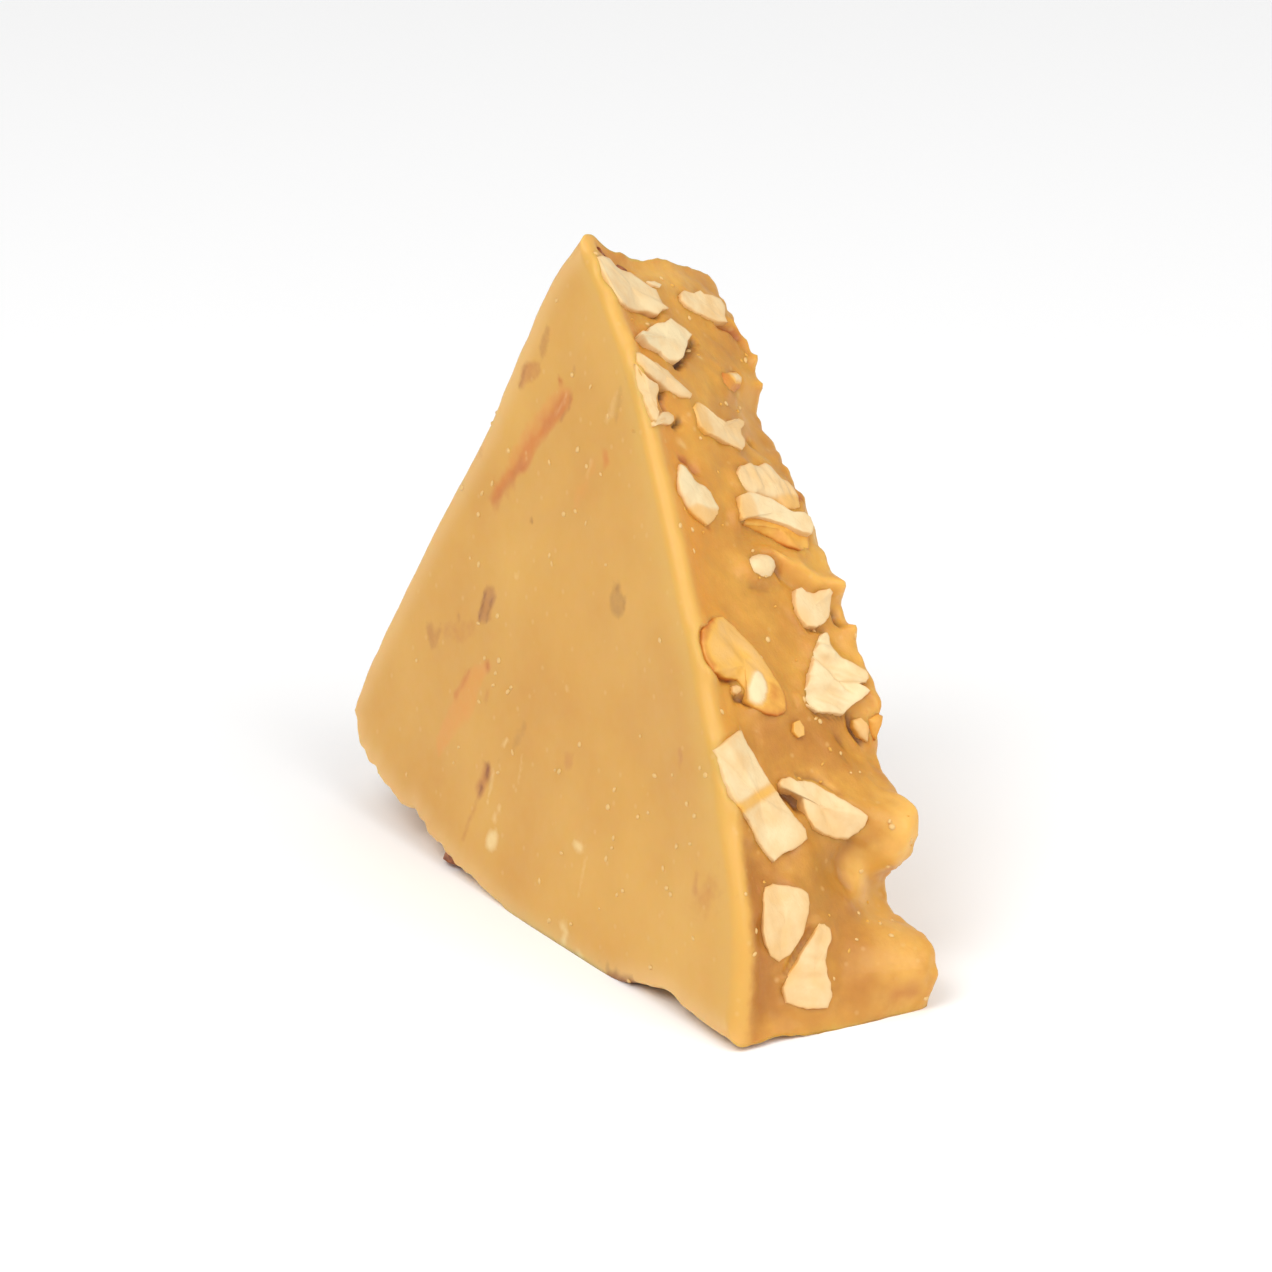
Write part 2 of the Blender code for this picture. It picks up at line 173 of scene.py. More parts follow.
# Folds and small teeth that stand out there: kind, width, height and path.
NUTTY_FOLDS = table("""
finger .52 .5 17.9,7.2 18.3,8.2 18.4,9.6 18.6,10.9
crease .3 -.2 19.2,8 19.2,8.6
tooth .35 .45 18.6,11.2 18.5,11.5
tooth .4 .45 20.8,11 20.7,11.5
tooth .4 .4 22.3,11.2 22.4,11.5
tooth .45 .4 24.3,11 24.4,11.5
lip .25 .3 3.4,10.6 4.2,11.1 5.3,11.4
tooth .3 .4 5.5,11.2 5.4,11.5
tooth .25 .4 6.7,11.2 6.7,11.5
tooth .4 .3 13.6,10.9 13.4,11.5
lobe .85 .4 30.4,11.1 32.2,10 34.4,9.3 35.6,8.7
swell .7 .15 1.4,6.2 1.3,7.9
swell .8 .12 26.8,6.9 28.9,8.9 29.4,10.6
""")
# Bubbles that burst there: down, back, radius.
NUTTY_BUBBLES = [(3.95, 8.43, 0.17), (4.7, 8.6, 0.11), (5.0, 8.9, 0.13), (20.4, 5.0, 0.12)]
BUBBLE_DEPTH = 0.10
BUBBLE_RIM = 0.05
# Pits and torn gaps there, dug into the relief and with painted shade as their tone: tone, width,
# depth, strength of the tone, and path.
NUTTY_PITS = table("""
rust .22 .3 .95 .55,1.3 .6,2.1
rust .24 .3 .95 .8,2.6 1.05,3.2 1.25,3.9
gap .24 .6 .95 5.35,6.79 6.45,5.59 7.39,4.33
rust .16 .35 .8 7.98,.72 8.46,1.66 8.66,2.31
gap .2 .6 1 8.95,2.5 9.74,1.99 10.2,2.17
gap .18 .45 .9 11.04,2.64 10.69,3.25
gap .2 .45 .8 10.75,8.75 10.75,8.9
umber .14 .2 .6 4.1,3.3 4.3,4.2
rust .2 .3 .85 12.93,2.5 13.05,3.15 13.57,3.48
rust .15 .15 .35 15.3,1.9 16.2,2.7 16.7,3.3
rust .2 .3 .85 14.07,9.6 13.99,10.24 13.64,11
umber .26 .4 .55 18.39,7.35 18.95,7.4
tan .16 .14 .4 19.95,5.3 20.1,6.4
umber .22 .45 .75 19.78,10.6 20.45,10.5
umber .14 .25 .5 20.95,7.8 21.75,8.2 21.2,9.4
copper .3 .2 .6 22.4,.8 23.2,.6 24,.9
rust .24 .3 .8 24.43,1.1 24.82,1.64 24.93,2.29
umber .24 .4 .9 25.88,2.51 26.02,2.89 26.17,3.14
umber .14 .2 .4 26.7,7.2 26.3,8.4 25.7,9.2
umber .22 .5 .8 25.5,9.6 26,9.7 26.45,10.2
umber .22 .15 .5 27.2,8.7 27.25,8.9
umber .12 .08 .4 28.25,8.7 28.25,8.8
rust .15 .1 .45 29.15,.3 30.23,.4 31,.5
umber .34 .7 .9 31.07,4.5 31.35,4.95 31.8,5.2
umber .15 .15 .4 30.3,5.4 30.45,6.6 30.97,7.5
russet .25 .12 .5 37.54,1.4 37.7,1.5
rust .18 .25 .35 38.3,4.5 39.3,3.8 40.3,3.2
rust .38 .05 .45 42.25,9.24 42.23,10.08
rust .18 .3 .8 3.75,9.3 3.85,10.3 4.2,10.9
tan .34 .25 .6 33.5,8 34.6,7.5 35.4,7.5 36,7.8
tan .25 .15 .4 37.2,1.6 38.4,1.5
""")
# Paler and deeper parts of the toffee there, most of them painted light: the gold strokes are
# painted highlights on lit folds and rims, the amber ones a painted glow behind the ridge, and the
# tan and
# olive ones darker zones of painted shade: tone, half width, strength and path.
NUTTY_TONES = table("""
gold 1 .4 37.9,8.8 38.9,9.7 40.4,8.9
gold .5 .6 15.5,11.2 20,11.2 25,11.3
gold 1.3 .6 .9,4.5 1.2,8
gold .4 .55 17.9,7.6 18.4,9.6 18.5,10.9
amber 1.3 .75 4.5,1.5 12.5,1.9 21.5,1.5
amber .9 .6 26.5,1.2 28,.9
olive 1.7 .75 33.5,7.6 35.7,6.4 36.9,5.6
tan 1.6 .95 35.2,1.3 38.5,1.3 41.5,1.6
tan 1 .5 31.5,1 35,1.4
tan 1.4 .65 37.4,7.6 38.5,6.8 41.5,7.2
gold 1.6 .5 38,10.3 42.4,9.4
olive 1.3 .3 5.5,8.4 8.5,6.4
tan 1.8 .6 26.8,8 28.5,6.9 29,4.4
olive 1.1 .3 19.6,3.8 20.6,6
cream .13 .6 6.45,6.7 6.5,6.8
cream .22 .4 11.9,2.9 12.1,3.1
russet .5 .25 9.6,3.2 10.6,4
gold 1.05 1 30.4,11.1 31.8,10.4 33.8,9.4 35.3,8.8
""")
# The toffee round an almond: a socket that is open here and there, a lip between, and the bed.
SOCKET_DEPTH = 0.08
SOCKET_WIDTH = 0.13
SOCKET_OUT = 0.05
RIM_OPEN = 0.5
RIM_OPEN_LENGTH = 1.1
RIM_OPEN_LEAST = 0.1
LIP_SHARE = 0.75
LIP_WIDTH = 0.5
LIP_WHERE_OPEN = 0.75
BED_DEPTH = 0.35
BED_FROM = (0.1, 0.3)
# How far from an almond its painted shade reaches into the toffee.
ALMOND_REACH = 0.5

# The cut almonds of the nutty side: how far each stands out, how toasted and how rounded it is,
# and its corners.
NUTTY_ALMONDS = {name: row for name, *row in table("""
flake .3 .1 0 1.57,.43 1.15,1.73 1.44,2.38 1.54,3.09 1.54,3.49 2.09,3.92 2.56,4.45 2.67,4.83
  3.21,4.84 3.68,4.81 3.89,5.19 4.04,4.6 4.37,4.15 4.14,3.28 4.47,.89 4.01,.63 3.38,.51 2.75,.42
  2.07,.41
crumb .2 .12 .3 2.03,4.61 1.92,5.25 2.09,5.81 2.34,5.46 2.29,4.88
wedge .3 .16 0 2.46,6.96 2.17,7.44 2.23,8.11 1.97,8.7 2.19,8.88 2.16,9.6 2.24,10.22 2.61,10.33
  3.41,9.93 3.65,9.95 3.76,9.15 3.65,8.49 3.51,7.66 3.26,7.03 2.91,6.79
block .5 .03 0 6.58,.93 6.12,1.5 5.75,2.43 5.33,2.91 5.03,3.57 4.93,4.27 4.63,4.82 4.85,5.09
  5.13,5.75 5.45,6.17 5.86,5.69 6.58,5.05 7.17,4.52 7.41,4.02 7.43,3.25 7.18,2.94 6.97,2.88
  6.88,2.19 6.74,1.79 6.52,1.59
sliver .4 .16 .35 7.45,.55 7.59,.94 7.57,2.24 7.88,3.11 8.54,3.77 9.22,4.5 9.47,4.23 9.44,3.53
  9.26,3.04 8.88,2.32 8.77,1.35 8.53,.76 8.11,.54 7.72,.48
ridge_sliver .28 .2 0 8.08,.27 8.17,.35 8.55,.5 8.96,.92 8.97,1.8 9.34,1.7 9.94,1.17 10.57,.96
  10.8,1.05 11.3,.65 11.13,.44 10.52,.32 9.86,.26 9.37,.13 8.75,.17
ridge_crumb .3 .16 .3 10.96,.79 10.51,1.58 10.33,2.28 10.51,2.67 10.79,2.6 11.1,2.09 11.33,1.08
  11.52,.41 11.31,.39
shard .3 .2 0 10,4.26 9.62,4.73 9.7,4.98 10,5.42 10.32,6.04 10.47,6.65 10.09,7.34 9.73,8.12 9.68,8.6
  10.1,8.32 10.46,7.88 10.82,7.8 11.07,7.94 11.56,7.7 11.94,7.31 11.83,6.6 11.64,5.69 11.41,4.84
  11.05,4.36 10.54,4.26
pip .5 .74 .7 7.04,7.87 6.89,8.41 6.6,9.05 6.73,9.41 7.02,9.41 7.42,9.23 8.01,8.55 8.12,7.86
  7.76,7.61
lens .35 .04 .35 13.32,2.06 13.35,2.45 13.6,2.71 13.94,2.83 14.18,3.16 14.44,3.68 14.76,3.95
  15.17,4.1 15.62,4.32 16,4.12 16.37,3.61 16.62,3.08 16.34,2.71 15.94,2.15 15.43,1.67 14.85,1.38
  14.23,1.48
lump .6 .14 .4 13.52,6.32 13.03,6.78 12.69,7.49 12.56,8.24 12.1,8.92 12.03,9.42 12.46,9.57
  12.68,9.83 12.87,10.14 13.2,10.33 13.74,10.46 14.39,10.23 14.6,9.83 14.82,9.07 14.56,8.8
  14.48,8.29 14.52,7.63 14.69,6.88 14.47,6.51 14.08,6.26
bar .65 .06 0 14.98,5.8 14.77,6.36 14.67,7.19 14.68,8.01 14.89,8.68 14.99,9.28 14.88,10.02
  15.08,10.33 15.52,10.32 16.05,10.03 16.14,9.43 16.01,8.66 15.98,7.64 16.1,6.51 16.37,5.47
  15.86,5.44
bar_side .36 .66 .5 16.01,6.04 15.78,6.94 15.67,7.98 15.64,8.96 15.71,9.78 15.65,10.43 16.66,9.99
  17.1,9.1 17.09,8.45 16.73,7.65 16.62,6.69 16.48,5.87
knob .62 .1 .75 18.64,7.26 19.04,7.03 19.4,6.68 19.61,6.25 19.6,5.81 19.43,5.44 19.17,5.24
  18.86,5.23 18.54,5.44 18.25,5.86 18.08,6.37 18.02,6.81 18.09,7.14 18.3,7.3
tooth .45 .12 0 19.6,8.1 19.34,8.44 19.45,8.7 19.38,9.15 18.97,9.74 18.75,10.3 18.92,10.46
  19.65,10.16 20.33,9.8 20.95,9.26 21.53,8.59 21.67,8.03 21.32,7.74 20.75,7.69 20.18,7.85
white .58 .06 0 21.81,8.71 21.53,9.11 22.02,9.21 22.6,9.48 22.71,10.19 23.09,10.73 23.48,10.83
  23.69,10.6 23.82,10.19 23.96,10.49 24.12,10.65 24.56,10.22 25.15,9.55 25.79,9.09 26.2,8.26
  26.58,7.37 26.54,6.72 26.1,6.58 25.23,7.07 23.97,7.64 22.92,8.06
amber .42 .55 .3 21.47,2.7 22.05,3.37 22.88,3.84 23.72,4.4 24.58,4.86 25.41,5.18 26.1,5.38 26.9,5.3
  27.15,4.6 26.92,3.93 26.57,3.36 26.16,2.95 25.5,2.98 24.95,2.62 24.8,1.77 24.57,.8 23.87,.5
  22.98,.48 22.39,.66 21.9,1.35 21.6,2.05
amber_dot .3 .3 .4 25.27,2.2 25.19,2.57 25.36,2.84 25.59,2.8 25.7,2.45 25.58,2.14
spur .75 .7 .4 25.35,10.52 25.15,10.81 24.96,11.13 25.07,11.44 25.44,11.28 25.91,11.03 26.31,10.83
  26.04,10.65
spur_foot .45 .38 .4 25.6,9.79 25.31,10.25 25.35,10.66 25.82,10.71 26.41,10.55 26.29,10.11
  25.95,9.78
speck .22 .48 0 27.52,5.66 27.38,6.1 27.71,6.32 28.19,6.25 28.33,5.88 27.97,5.57
plank .32 .12 0 28.49,.09 28,.98 27.6,1.97 28.98,2.7 29.84,3.05 30.69,3.55 31.54,4.09 32.38,4.58
  33.14,5.08 33.64,5.09 34.02,4.28 34.19,3.43 34.5,2.87 34.04,2.48 33.13,1.82 32.27,1.41 31.63,.78
  31.06,.55 30.15,.31 29.3,.17
hook .36 .18 0 30.53,4.03 30.35,4.31 30.31,4.68 30.58,5.06 30.61,5.63 30.74,6.22 31.05,6.79
  31.26,7.33 31.44,7.86 31.59,8.4 31.77,8.65 32.29,8.54 32.86,8.28 33.42,7.86 33.61,7.19 33.46,6.29
  33.14,5.7 32.6,5.43 32.06,5.31 31.48,5.3 31.12,4.97 30.94,4.42 30.79,4.07
petal .32 .22 .15 35.66,2.1 35.58,2.7 35.8,3.51 36.06,4.21 36.38,4.63 36.86,4.64 37.53,4.42
  38.27,4.17 38.89,3.82 39.39,3.34 39.66,2.72 39.24,2.15 38.69,1.88 37.94,1.74 37.07,1.75 36.31,1.84
foot .35 .22 .15 37.93,5.08 37.93,5.4 38.35,5.76 38.84,5.74 39.33,5.44 39.92,5.34 40.56,5.36
  41.15,5.58 41.89,5.65 42.41,5.39 42.32,4.25 41.86,3.15 41.05,2.99 40.47,3.27 39.83,3.73 39.1,4.17
  38.66,4.56 38.26,4.83
""")}
# Parts of an almond with a toast of their own; the pip's paler patch is a painted highlight and the
# amber's darker front edge a painted shade: the toast, how far they are raised, and corners.
ALMOND_TINTS = table("""
amber .46 0 21.9,1.9 21.6,2.76 22.15,3.3 22.8,3.6 23.4,4.2 23.95,4.6 24.61,4.85 24.58,4.48
  23.96,3.95 23.51,3.39 22.83,2.76 22.35,1.9
amber .66 -.02 22.87,.4 22.1,.7 21.5,1.6 21.6,1.9 22.3,1.3 23,.85 24.2,1.05 24.6,.8 23.66,.5
amber .67 0 25.3,4.4 25.4,4.7 25.79,5.2 26.37,5.6 27,5.6 27.4,4.84 27.2,4.05 26.75,3.75 26.2,4.1
  25.7,4.35
amber -.1 .1 25.08,3.32 24.78,3.52 24.69,3.83 24.86,4.06 25.3,4.14 25.77,4.09 26.21,3.9 26.45,3.61
  26.38,3.29 26.09,3.02 25.57,3.06
plank .52 -.02 31.48,.4 31.14,1.5 30.76,2.6 30.32,3.8 30.76,4.1 31.18,2.95 31.58,1.9 31.96,.8
pip .15 .06 6.88,8.42 6.72,9.01 6.89,9.18 7.21,9 7.4,8.44 7.15,8.28
lens .36 0 15.9,1.6 15.5,2.5 15.7,3.3 15.75,4.2 16.2,4.2 16.8,3.1 16.3,2
lump .4 0 14.48,8.29 13.91,9.49 13.73,10.6 14.5,10.4 15,9.2
bar .3 0 14.9,5.5 14.8,6.5 15.3,6.7 16.1,6.7 16.5,5.3 15.86,5.2
shard .34 0 9.9,4.1 9.5,4.7 9.8,5.1 10.5,5.2 11.2,5.3 11.6,4.6 10.54,4
""")
TINT_BLUR = 0.16
# Split almonds with ridges across the top: their height and direction. The others hardly have any.
ALMOND_RIDGES = {"white": (0.60, 1.1), "lump": (0.26, 0.3), "amber": (0.12, 0.9),
                 "foot": (0.16, 1.4), "petal": (0.12, 0.2), "hook": (0.10, 0.5)}
FAINT_RIDGES = (0.03, 0.6)
RIDGE_LENGTH = 1.8
RIDGE_GAP = 0.42
RIDGE_CUT = 0.16
RIDGE_MIDDLE = 0.05
ALMOND_ROOT = 1.1
ALMOND_FLOOR = 0.3
ALMOND_STEP = 0.2
ALMOND_RAG = 0.02
ALMOND_TILT = 0.05
ALMOND_CROWN = 0.01
# Waves of their cut faces: height and length.
ALMOND_WAVES = (0.05, 0.9)
ALMOND_GRAIN = (0.012, 0.3)
ALMOND_SHIFT = 50
# The rings of a cut almond from its root to the middle of its cut face: how wide each is against
# its outline, its height as a share of how far it stands out, plus a height in millimetres, and how
# much more toasted it looks than the cut face.
ALMOND_RINGS = [
    (0.82, 0.0, -ALMOND_ROOT, 0.4), (0.97, 0.0, -0.35, 0.32), (1.00, 0.25, 0.0, 0.20),
    (1.00, 0.6, 0.0, 0.16), (0.995, 1.0, -0.06, 0.12), (0.98, 1.0, -0.012, 0.09),
    (0.95, 1.0, 0.0, 0.05), (0.90, 1.0, 0.005, 0.02),
] + [(0.84 - 0.06 * k, 1.0, 0.01, 0.0) for k in range(14)]

# Almonds of the sides that are turned away, which are drawn by a seeded rule
OTHER_ALMONDS = {"far": 16, "chip": 5}
OTHER_SEED = 7
OTHER_EDGE = 0.7
OTHER_END = 3.0
OTHER_STRIDE = 0.618
OTHER_LONG = (1.0, 2.3)
OTHER_WIDE = (0.45, 0.8)
OTHER_SPREAD = 0.3
OTHER_SIDES = (4, 5, 6)
OTHER_SKEW = 0.2
OTHER_PROUD = (0.35, 0.8)
OTHER_TOASTS = (0.05, 0.12, 0.18, 0.25, 0.6)
OTHER_ROUNDED = (0, 0.4)
OTHER_CHIPS = (0.12, 0.4, 0.65, 0.88)
OTHER_RAG = 0.13
OTHER_RIDGES = (0.12, 0.8)

# Slivers of brown skin: side, how far each stands out and its corners.
BROWN_SKINS = table("""
nutty .1 .5,1.2 .5,1.9 .75,2.2 .85,1.6
nutty .1 .8,2.7 1,3.5 1.25,3.7 1.2,3.1
chip .95 1.1,.7 1.7,.4 2.5,.4 2.9,1 2.5,1.8 1.7,2 1.1,1.5
far .35 9,3.1 10.3,3.4 10.6,4 9.3,3.9
far .35 22.4,7.1 23.2,8.2 23.8,8.4 23.1,7.2
base .3 9,.9 11.4,.7 11.2,1.6 9.3,1.7
""")
SKIN_ROUNDED = 0.3

# Almond flakes that show faintly through the smooth face: tone, strength and corners.
FACE_FLAKES = table("""
brown .45 -11.85,30.72 -11.4,30.73 -11.36,30.12 -11.51,29.33 -11.88,28.98 -12.23,29.49 -12.06,30.17
russet .6 -13.11,28.37 -12.5,28.73 -11.93,28.71 -11.79,28.26 -12.26,27.74 -12.86,27.38 -13.33,26.93
  -13.6,27.1 -13.53,27.75
orange .75 -9.04,28.13 -8.52,27.85 -8.82,27.26 -9.34,26.61 -9.94,25.81 -10.68,25.09 -11.18,24.32
  -11.46,23.61 -11.88,22.98 -12.58,22.52 -13.15,22.03 -13.7,21.43 -14.02,20.83 -14.49,20.37
  -14.71,20.61 -14.49,21.31 -13.97,22.04 -13.31,22.68 -12.77,23.28 -12.49,24.05 -11.86,24.74
  -11.09,25.35 -10.7,26.09 -10.08,26.83 -9.57,27.54
apricot .4 -9.85,28.2 -8.95,28.22 -9.57,27.54 -10.08,26.83 -10.7,26.09 -11.09,25.35 -11.86,24.74
  -12.49,24.05 -13,23.27 -13.74,22.55 -13.36,23.79 -12.35,25.34 -11.11,26.83
brown .62 -14.03,16.14 -13.34,16.23 -13.01,15.83 -13.19,15.14 -13.28,14.54 -13.89,14.15 -14.47,14.16
  -14.42,14.87 -14.24,15.57
brown .45 -19.28,12.43 -18.85,12.63 -18.52,12.29 -18.11,12.55 -17.96,12.92 -17.83,12.38 -17.98,11.56
  -18.48,11.15 -18.96,11.63
russet .25 -17.7,12.81 -16.43,13.47 -14.68,14.03 -14.5,13.32 -15.73,12.54 -17.52,12.1
apricot .55 -13.09,12.37 -12.6,12.28 -12.92,11.66 -13.24,11.05 -13.44,9.96 -13.7,9.11 -14.45,8.35
  -15.21,7.58 -15.73,6.77 -16.49,6 -16.81,6.8 -16.46,7.81 -15.82,9.06 -15.39,10.22 -14.68,11.16
  -13.9,11.85
grey .6 -2.55,19.75 -1.96,20.06 -1.74,19.64 -1.11,19.34 -1.1,18.85 -1.72,18.22 -2.58,18.51
  -2.72,19.08
russet .6 -12.02,7.11 -11.34,7.21 -11.2,6.62 -11.54,6.12 -11.72,5.42 -12.35,5.08 -12.6,5.63
  -12.2,6.41
russet .35 -4.69,10.19 -4.03,10.29 -3.91,9.82 -4.21,9.22 -4.66,9.19 -4.78,9.66
cream .9 -10.74,3.83 -10.23,4.13 -9.93,3.85 -9.9,3.28 -10.37,2.8 -10.86,2.89 -10.98,3.36
grey .35 -8.91,10.56 -8.51,10.32 -8.79,9.59 -9.29,8.79 -9.63,8.29 -9.67,8.92 -9.3,9.8
""")
# Spots and scratches there, and a dark strip along the bottom edge: tone, half width, strength and
# path.
FACE_SPOTS = table("""
brown .15 .6 -13.18,28.22 -13.46,27.02
orange .5 .42 -9.3,27.7 -10.6,26.2 -12.3,24.2 -13.3,22.4 -14.2,21
brown .12 .45 -8.7,27.9 -8.75,27.3 -9.25,26.5
cream .09 .4 -9.1,28 -9.2,27.5 -9.9,26.6
copper .24 .9 -9.91,28.43 -9.83,28.38
copper .34 .4 -9.3,27.6 -9.9,26.6 -10.6,25.7
copper .2 .55 -11.68,23.55 -12.31,22.85
russet .3 .5 -12.4,23.3 -12.9,22.5
russet .4 .45 -13.2,22.1 -14.35,20.7
orange .34 .6 -4.8,25.97 -4.6,25.7
cream .14 .35 -5.95,25.27 -6.09,24.48
bark .11 .9 -10.75,20.74 -10.73,20.67
brown .15 .4 -8.8,29.44 -8.76,29.26
russet .2 .35 -16.26,22.8 -16.22,22.62
apricot .4 .35 -5.7,25 -6.29,23.93 -6.72,22.93
bark .13 .7 -14.13,15.6 -14.31,14.27
bark .1 .55 -13.37,15.59 -13.59,14.38
brown .14 .5 -16.28,13.82 -16.25,13.71
copper .2 .9 -12.89,12.31 -12.83,12.07
copper .2 .5 -14.49,11.35 -15.49,9.67
bark .14 .3 -2.12,19.83 -2.21,19.62
bark .12 .3 -1.23,19.3 -1.23,18.93
bark .26 1 -11.6,6.93 -11.62,6.6
bark .2 .9 -12.07,5.68 -12.14,5.47
russet .16 .4 -12.4,4.8 -13.16,2.61
cream .16 .6 -10.5,4.74 -10.55,4.56
cream .13 .6 -10.14,5.37 -10.2,5.22
cream .22 .85 -2.7,5.85 -2.2,5.85
cream .15 .7 -10.15,9.01 -10.4,8.67
cream .12 .45 -11.07,7.04 -11.31,5.17
cream .12 .3 -8.66,8.61 -8.74,7.06
russet .25 .4 8.34,8.01 8.34,7.15
russet .22 .5 5.44,13.45 5.48,12.97
cream .12 .7 -11.47,17.5 -11.23,17.48
cream .1 .5 -5.43,13.34 -5.32,13.3
cream .12 .25 -1.47,5.49 -1.84,3.34
grey .25 .35 -4.31,29.46 -4.31,28.11
cream .25 .3 -4.64,28.99 -4.98,27.66
russet .2 .35 -12.47,10.79 -12.6,10.37
cream .3 .8 -2.8,1.27 -2.4,1.2 -2.5,.7
cream .2 .8 -1.14,.55 -.64,.35
bark .35 .9 1.85,.35 2.7,.4 3.78,.6
russet .8 .35 9.68,7.86 9.05,6.9
""")
# Marks of the face and the sides that are turned away, which are drawn by a seeded rule
DRAWN_MARKS = {"back": 30, "far": 14, "chip": 6, "base": 10}
DRAWN_TONES = ("russet", "brown", "apricot", "grey", "cream", "copper")
DRAWN_LONG = (0.2, 2.2)
DRAWN_SPREAD = 0.8
DRAWN_WIDE = (0.12, 0.45)
DRAWN_STRONG = (0.3, 0.8)
# Where they lie on the back face, how they run there, and how they run on a broken side
BACK_MARKS = ((-20, 3), (8, 27), -2.1)
SIDE_MARKS_TURN = 0.8
MARK_SEED = 5
MARK_DRIFT = 0.12
MARK_DRIFT_LENGTH = 0.8
MARK_UNEVEN = 0.6
MARK_UNEVEN_LENGTH = 0.6
FLAKE_BLUR = 0.22
# Tones of the marks, and of the painted highlights, glow and shade on the nutty side
MARK_AND_LIGHT_TONES = {
    "russet": "#be7536", "orange": "#d2792b", "apricot": "#e19745", "copper": "#c36925",
    "brown": "#aa6936", "bark": "#84451e", "grey": "#ad7d3b", "cream": "#edd193", "gold": "#e8b55a",
    "amber": "#de9430", "tan": "#b06f26", "olive": "#ae792f", "rust": "#ad541f", "umber": "#7b4523",
    "gap": "#4d1d0b",
}
FACE_PALE = "#dca94f"
FACE_DEEP = "#d19942"
BREAK_PALE = "#dfa746"
BREAK_MIDDLE = "#cf943b"
BREAK_DEEP = "#bf8131"
# painted shade round the almonds, warmed as by light glowing through the toffee
PAINTED_ALMOND_SHADE = "#ba752d"
# painted glow colours of the ridge and the thin rims, standing in for light through the toffee
PAINTED_RIDGE_GLOW = "#d9ac54"
PAINTED_RIM_GLOW = "#e6bf80"
SUGAR_GRAIN = "#dfb773"
# The crumbs and grains: how patchy and how lumpy they are, and over which heights they thin out
PATCH_SCALE = 260.0
LUMP_SCALE = 5200.0
BITS_FROM = (0.2 * MM, 0.4 * MM)

# The view
VIEW_AZIMUTH = 58
VIEW_ELEVATION = 21
VIEW_DISTANCE = 0.42
VIEW_CENTRE = Vector((5.45, -5.4, 17.3)) * MM
LENS = 236
# Soft boxes: azimuth, elevation, distance, size and power.
LAMPS = {
    "key": (22, 50, 0.4, 0.22, 0.68),
    "side": (100, 38, 0.6, 0.45, 1.6),
    "top": (58, 85, 0.6, 0.50, 0.53),
}
SKY = 0.52
FLOOR_REACH = 2.0


def linear(code):
    """An sRGB hex colour as linear values, opaque."""
    values = [int(code[k : k + 2], 16) / 255 for k in (1, 3, 5)]
    flat = [v / 12.92 if v <= 0.04045 else ((v + 0.055) / 1.055) ** 2.4 for v in values]
    return (*flat, 1.0)


def smooth_path(points, step=16):
    """Points along a Catmull-Rom curve through the given ones."""
    ends = [points[0]] + list(points) + [points[-1]]
    path = []
    for i in range(len(points) - 1):
        before, start, end, after = (Vector(p) for p in ends[i : i + 4])
        for k in range(step):
            t = k / step
            path.append(0.5 * (2 * start + (end - before) * t
                               + (2 * before - 5 * start + 4 * end - after) * t * t
                               + (3 * start - before - 3 * end + after) * t ** 3))
    path.append(Vector(points[-1]))
    return np.array(path)


def walked(path):
    """How far along a path each of its points is."""
    return np.concatenate([[0.0], np.cumsum(np.linalg.norm(np.diff(path, axis=0), axis=1))])


def spaced(points, count):
    """The smooth curve cut into count equal lengths, without its last point."""
    path = smooth_path(points)
    along = walked(path)
    wanted = along[-1] * np.arange(count) / count
    return np.stack([np.interp(wanted, along, path[:, k]) for k in (0, 1)], axis=1)


def outline(sides):
    """The closed outline of one face."""
    return np.concatenate([spaced(corners, SIDE_STEPS[name]) for name, corners in sides.items()])


FRONT = outline(FRONT_SIDES)
BACK = outline(BACK_SIDES)
RAGGED = spaced(RAGGED_BACK, SIDE_STEPS["nutty"])
SIDE_OF = [name for name, steps in SIDE_STEPS.items() for _ in range(steps)]
SIDE_START = {name: SIDE_OF.index(name) for name in SIDE_STEPS}
SIDE_LENGTH = {name: walked(smooth_path(corners))[-1] for name, corners in FRONT_SIDES.items()}
AROUND = len(FRONT)
WALK = walked(np.vstack([FRONT, FRONT[:1]]))
FROM_APEX = np.minimum(WALK[:-1], WALK[-1] - WALK[:-1])


def ease(t):
    """A soft step from 0 to 1."""
    t = np.clip(t, 0.0, 1.0)
    return t * t * (3 - 2 * t)


def plain_ring(share):
    """The outline at a share of the thickness, before relief."""
    ring = FRONT + (BACK - FRONT) * share
    edge = slice(len(RAGGED))
    ring[edge] += (RAGGED - BACK[edge]) * ease((share - RAGGED_FROM) / (1 - RAGGED_FROM))
    return ring


def outward(ring):
    """The unit normals of a closed outline, pointing away from its inside."""
    along = np.roll(ring, -NORMAL_REACH, axis=0) - np.roll(ring, NORMAL_REACH, axis=0)
    normals = np.stack([-along[:, 1], along[:, 0]], axis=1)
    return normals / np.linalg.norm(normals, axis=1)[:, None]


def smoothed(by_side):
    """A value of every side, set at each point of the outline and averaged with its neighbours."""
    values = np.array([by_side[name] for name in SIDE_OF])
    reach = range(-SIDE_BLEND, SIDE_BLEND + 1)
    return sum(np.roll(values, k) for k in reach) / (2 * SIDE_BLEND + 1)


ROUNDING = smoothed(EDGE_SHARE)
SIDE_VALUES = [smoothed({name: row[k] for name, row in SIDE_RELIEF.items()}) for k in range(6)]
ON_NUTTY = smoothed({name: float(name == "nutty") for name in SIDE_STEPS})


def noise_at(points, length, shift=0.0):
    """Smooth noise of a given grain length at each of the points."""
    offset = Vector([shift * skew for skew in NOISE_SKEW])
    return np.array([noise.noise(Vector(p) / length + offset) for p in points])


def crags_at(place):
    """The noise behind the crags at one place."""
    return noise.noise(place / CRAG_LENGTH + Vector(CRAG_SHIFT))


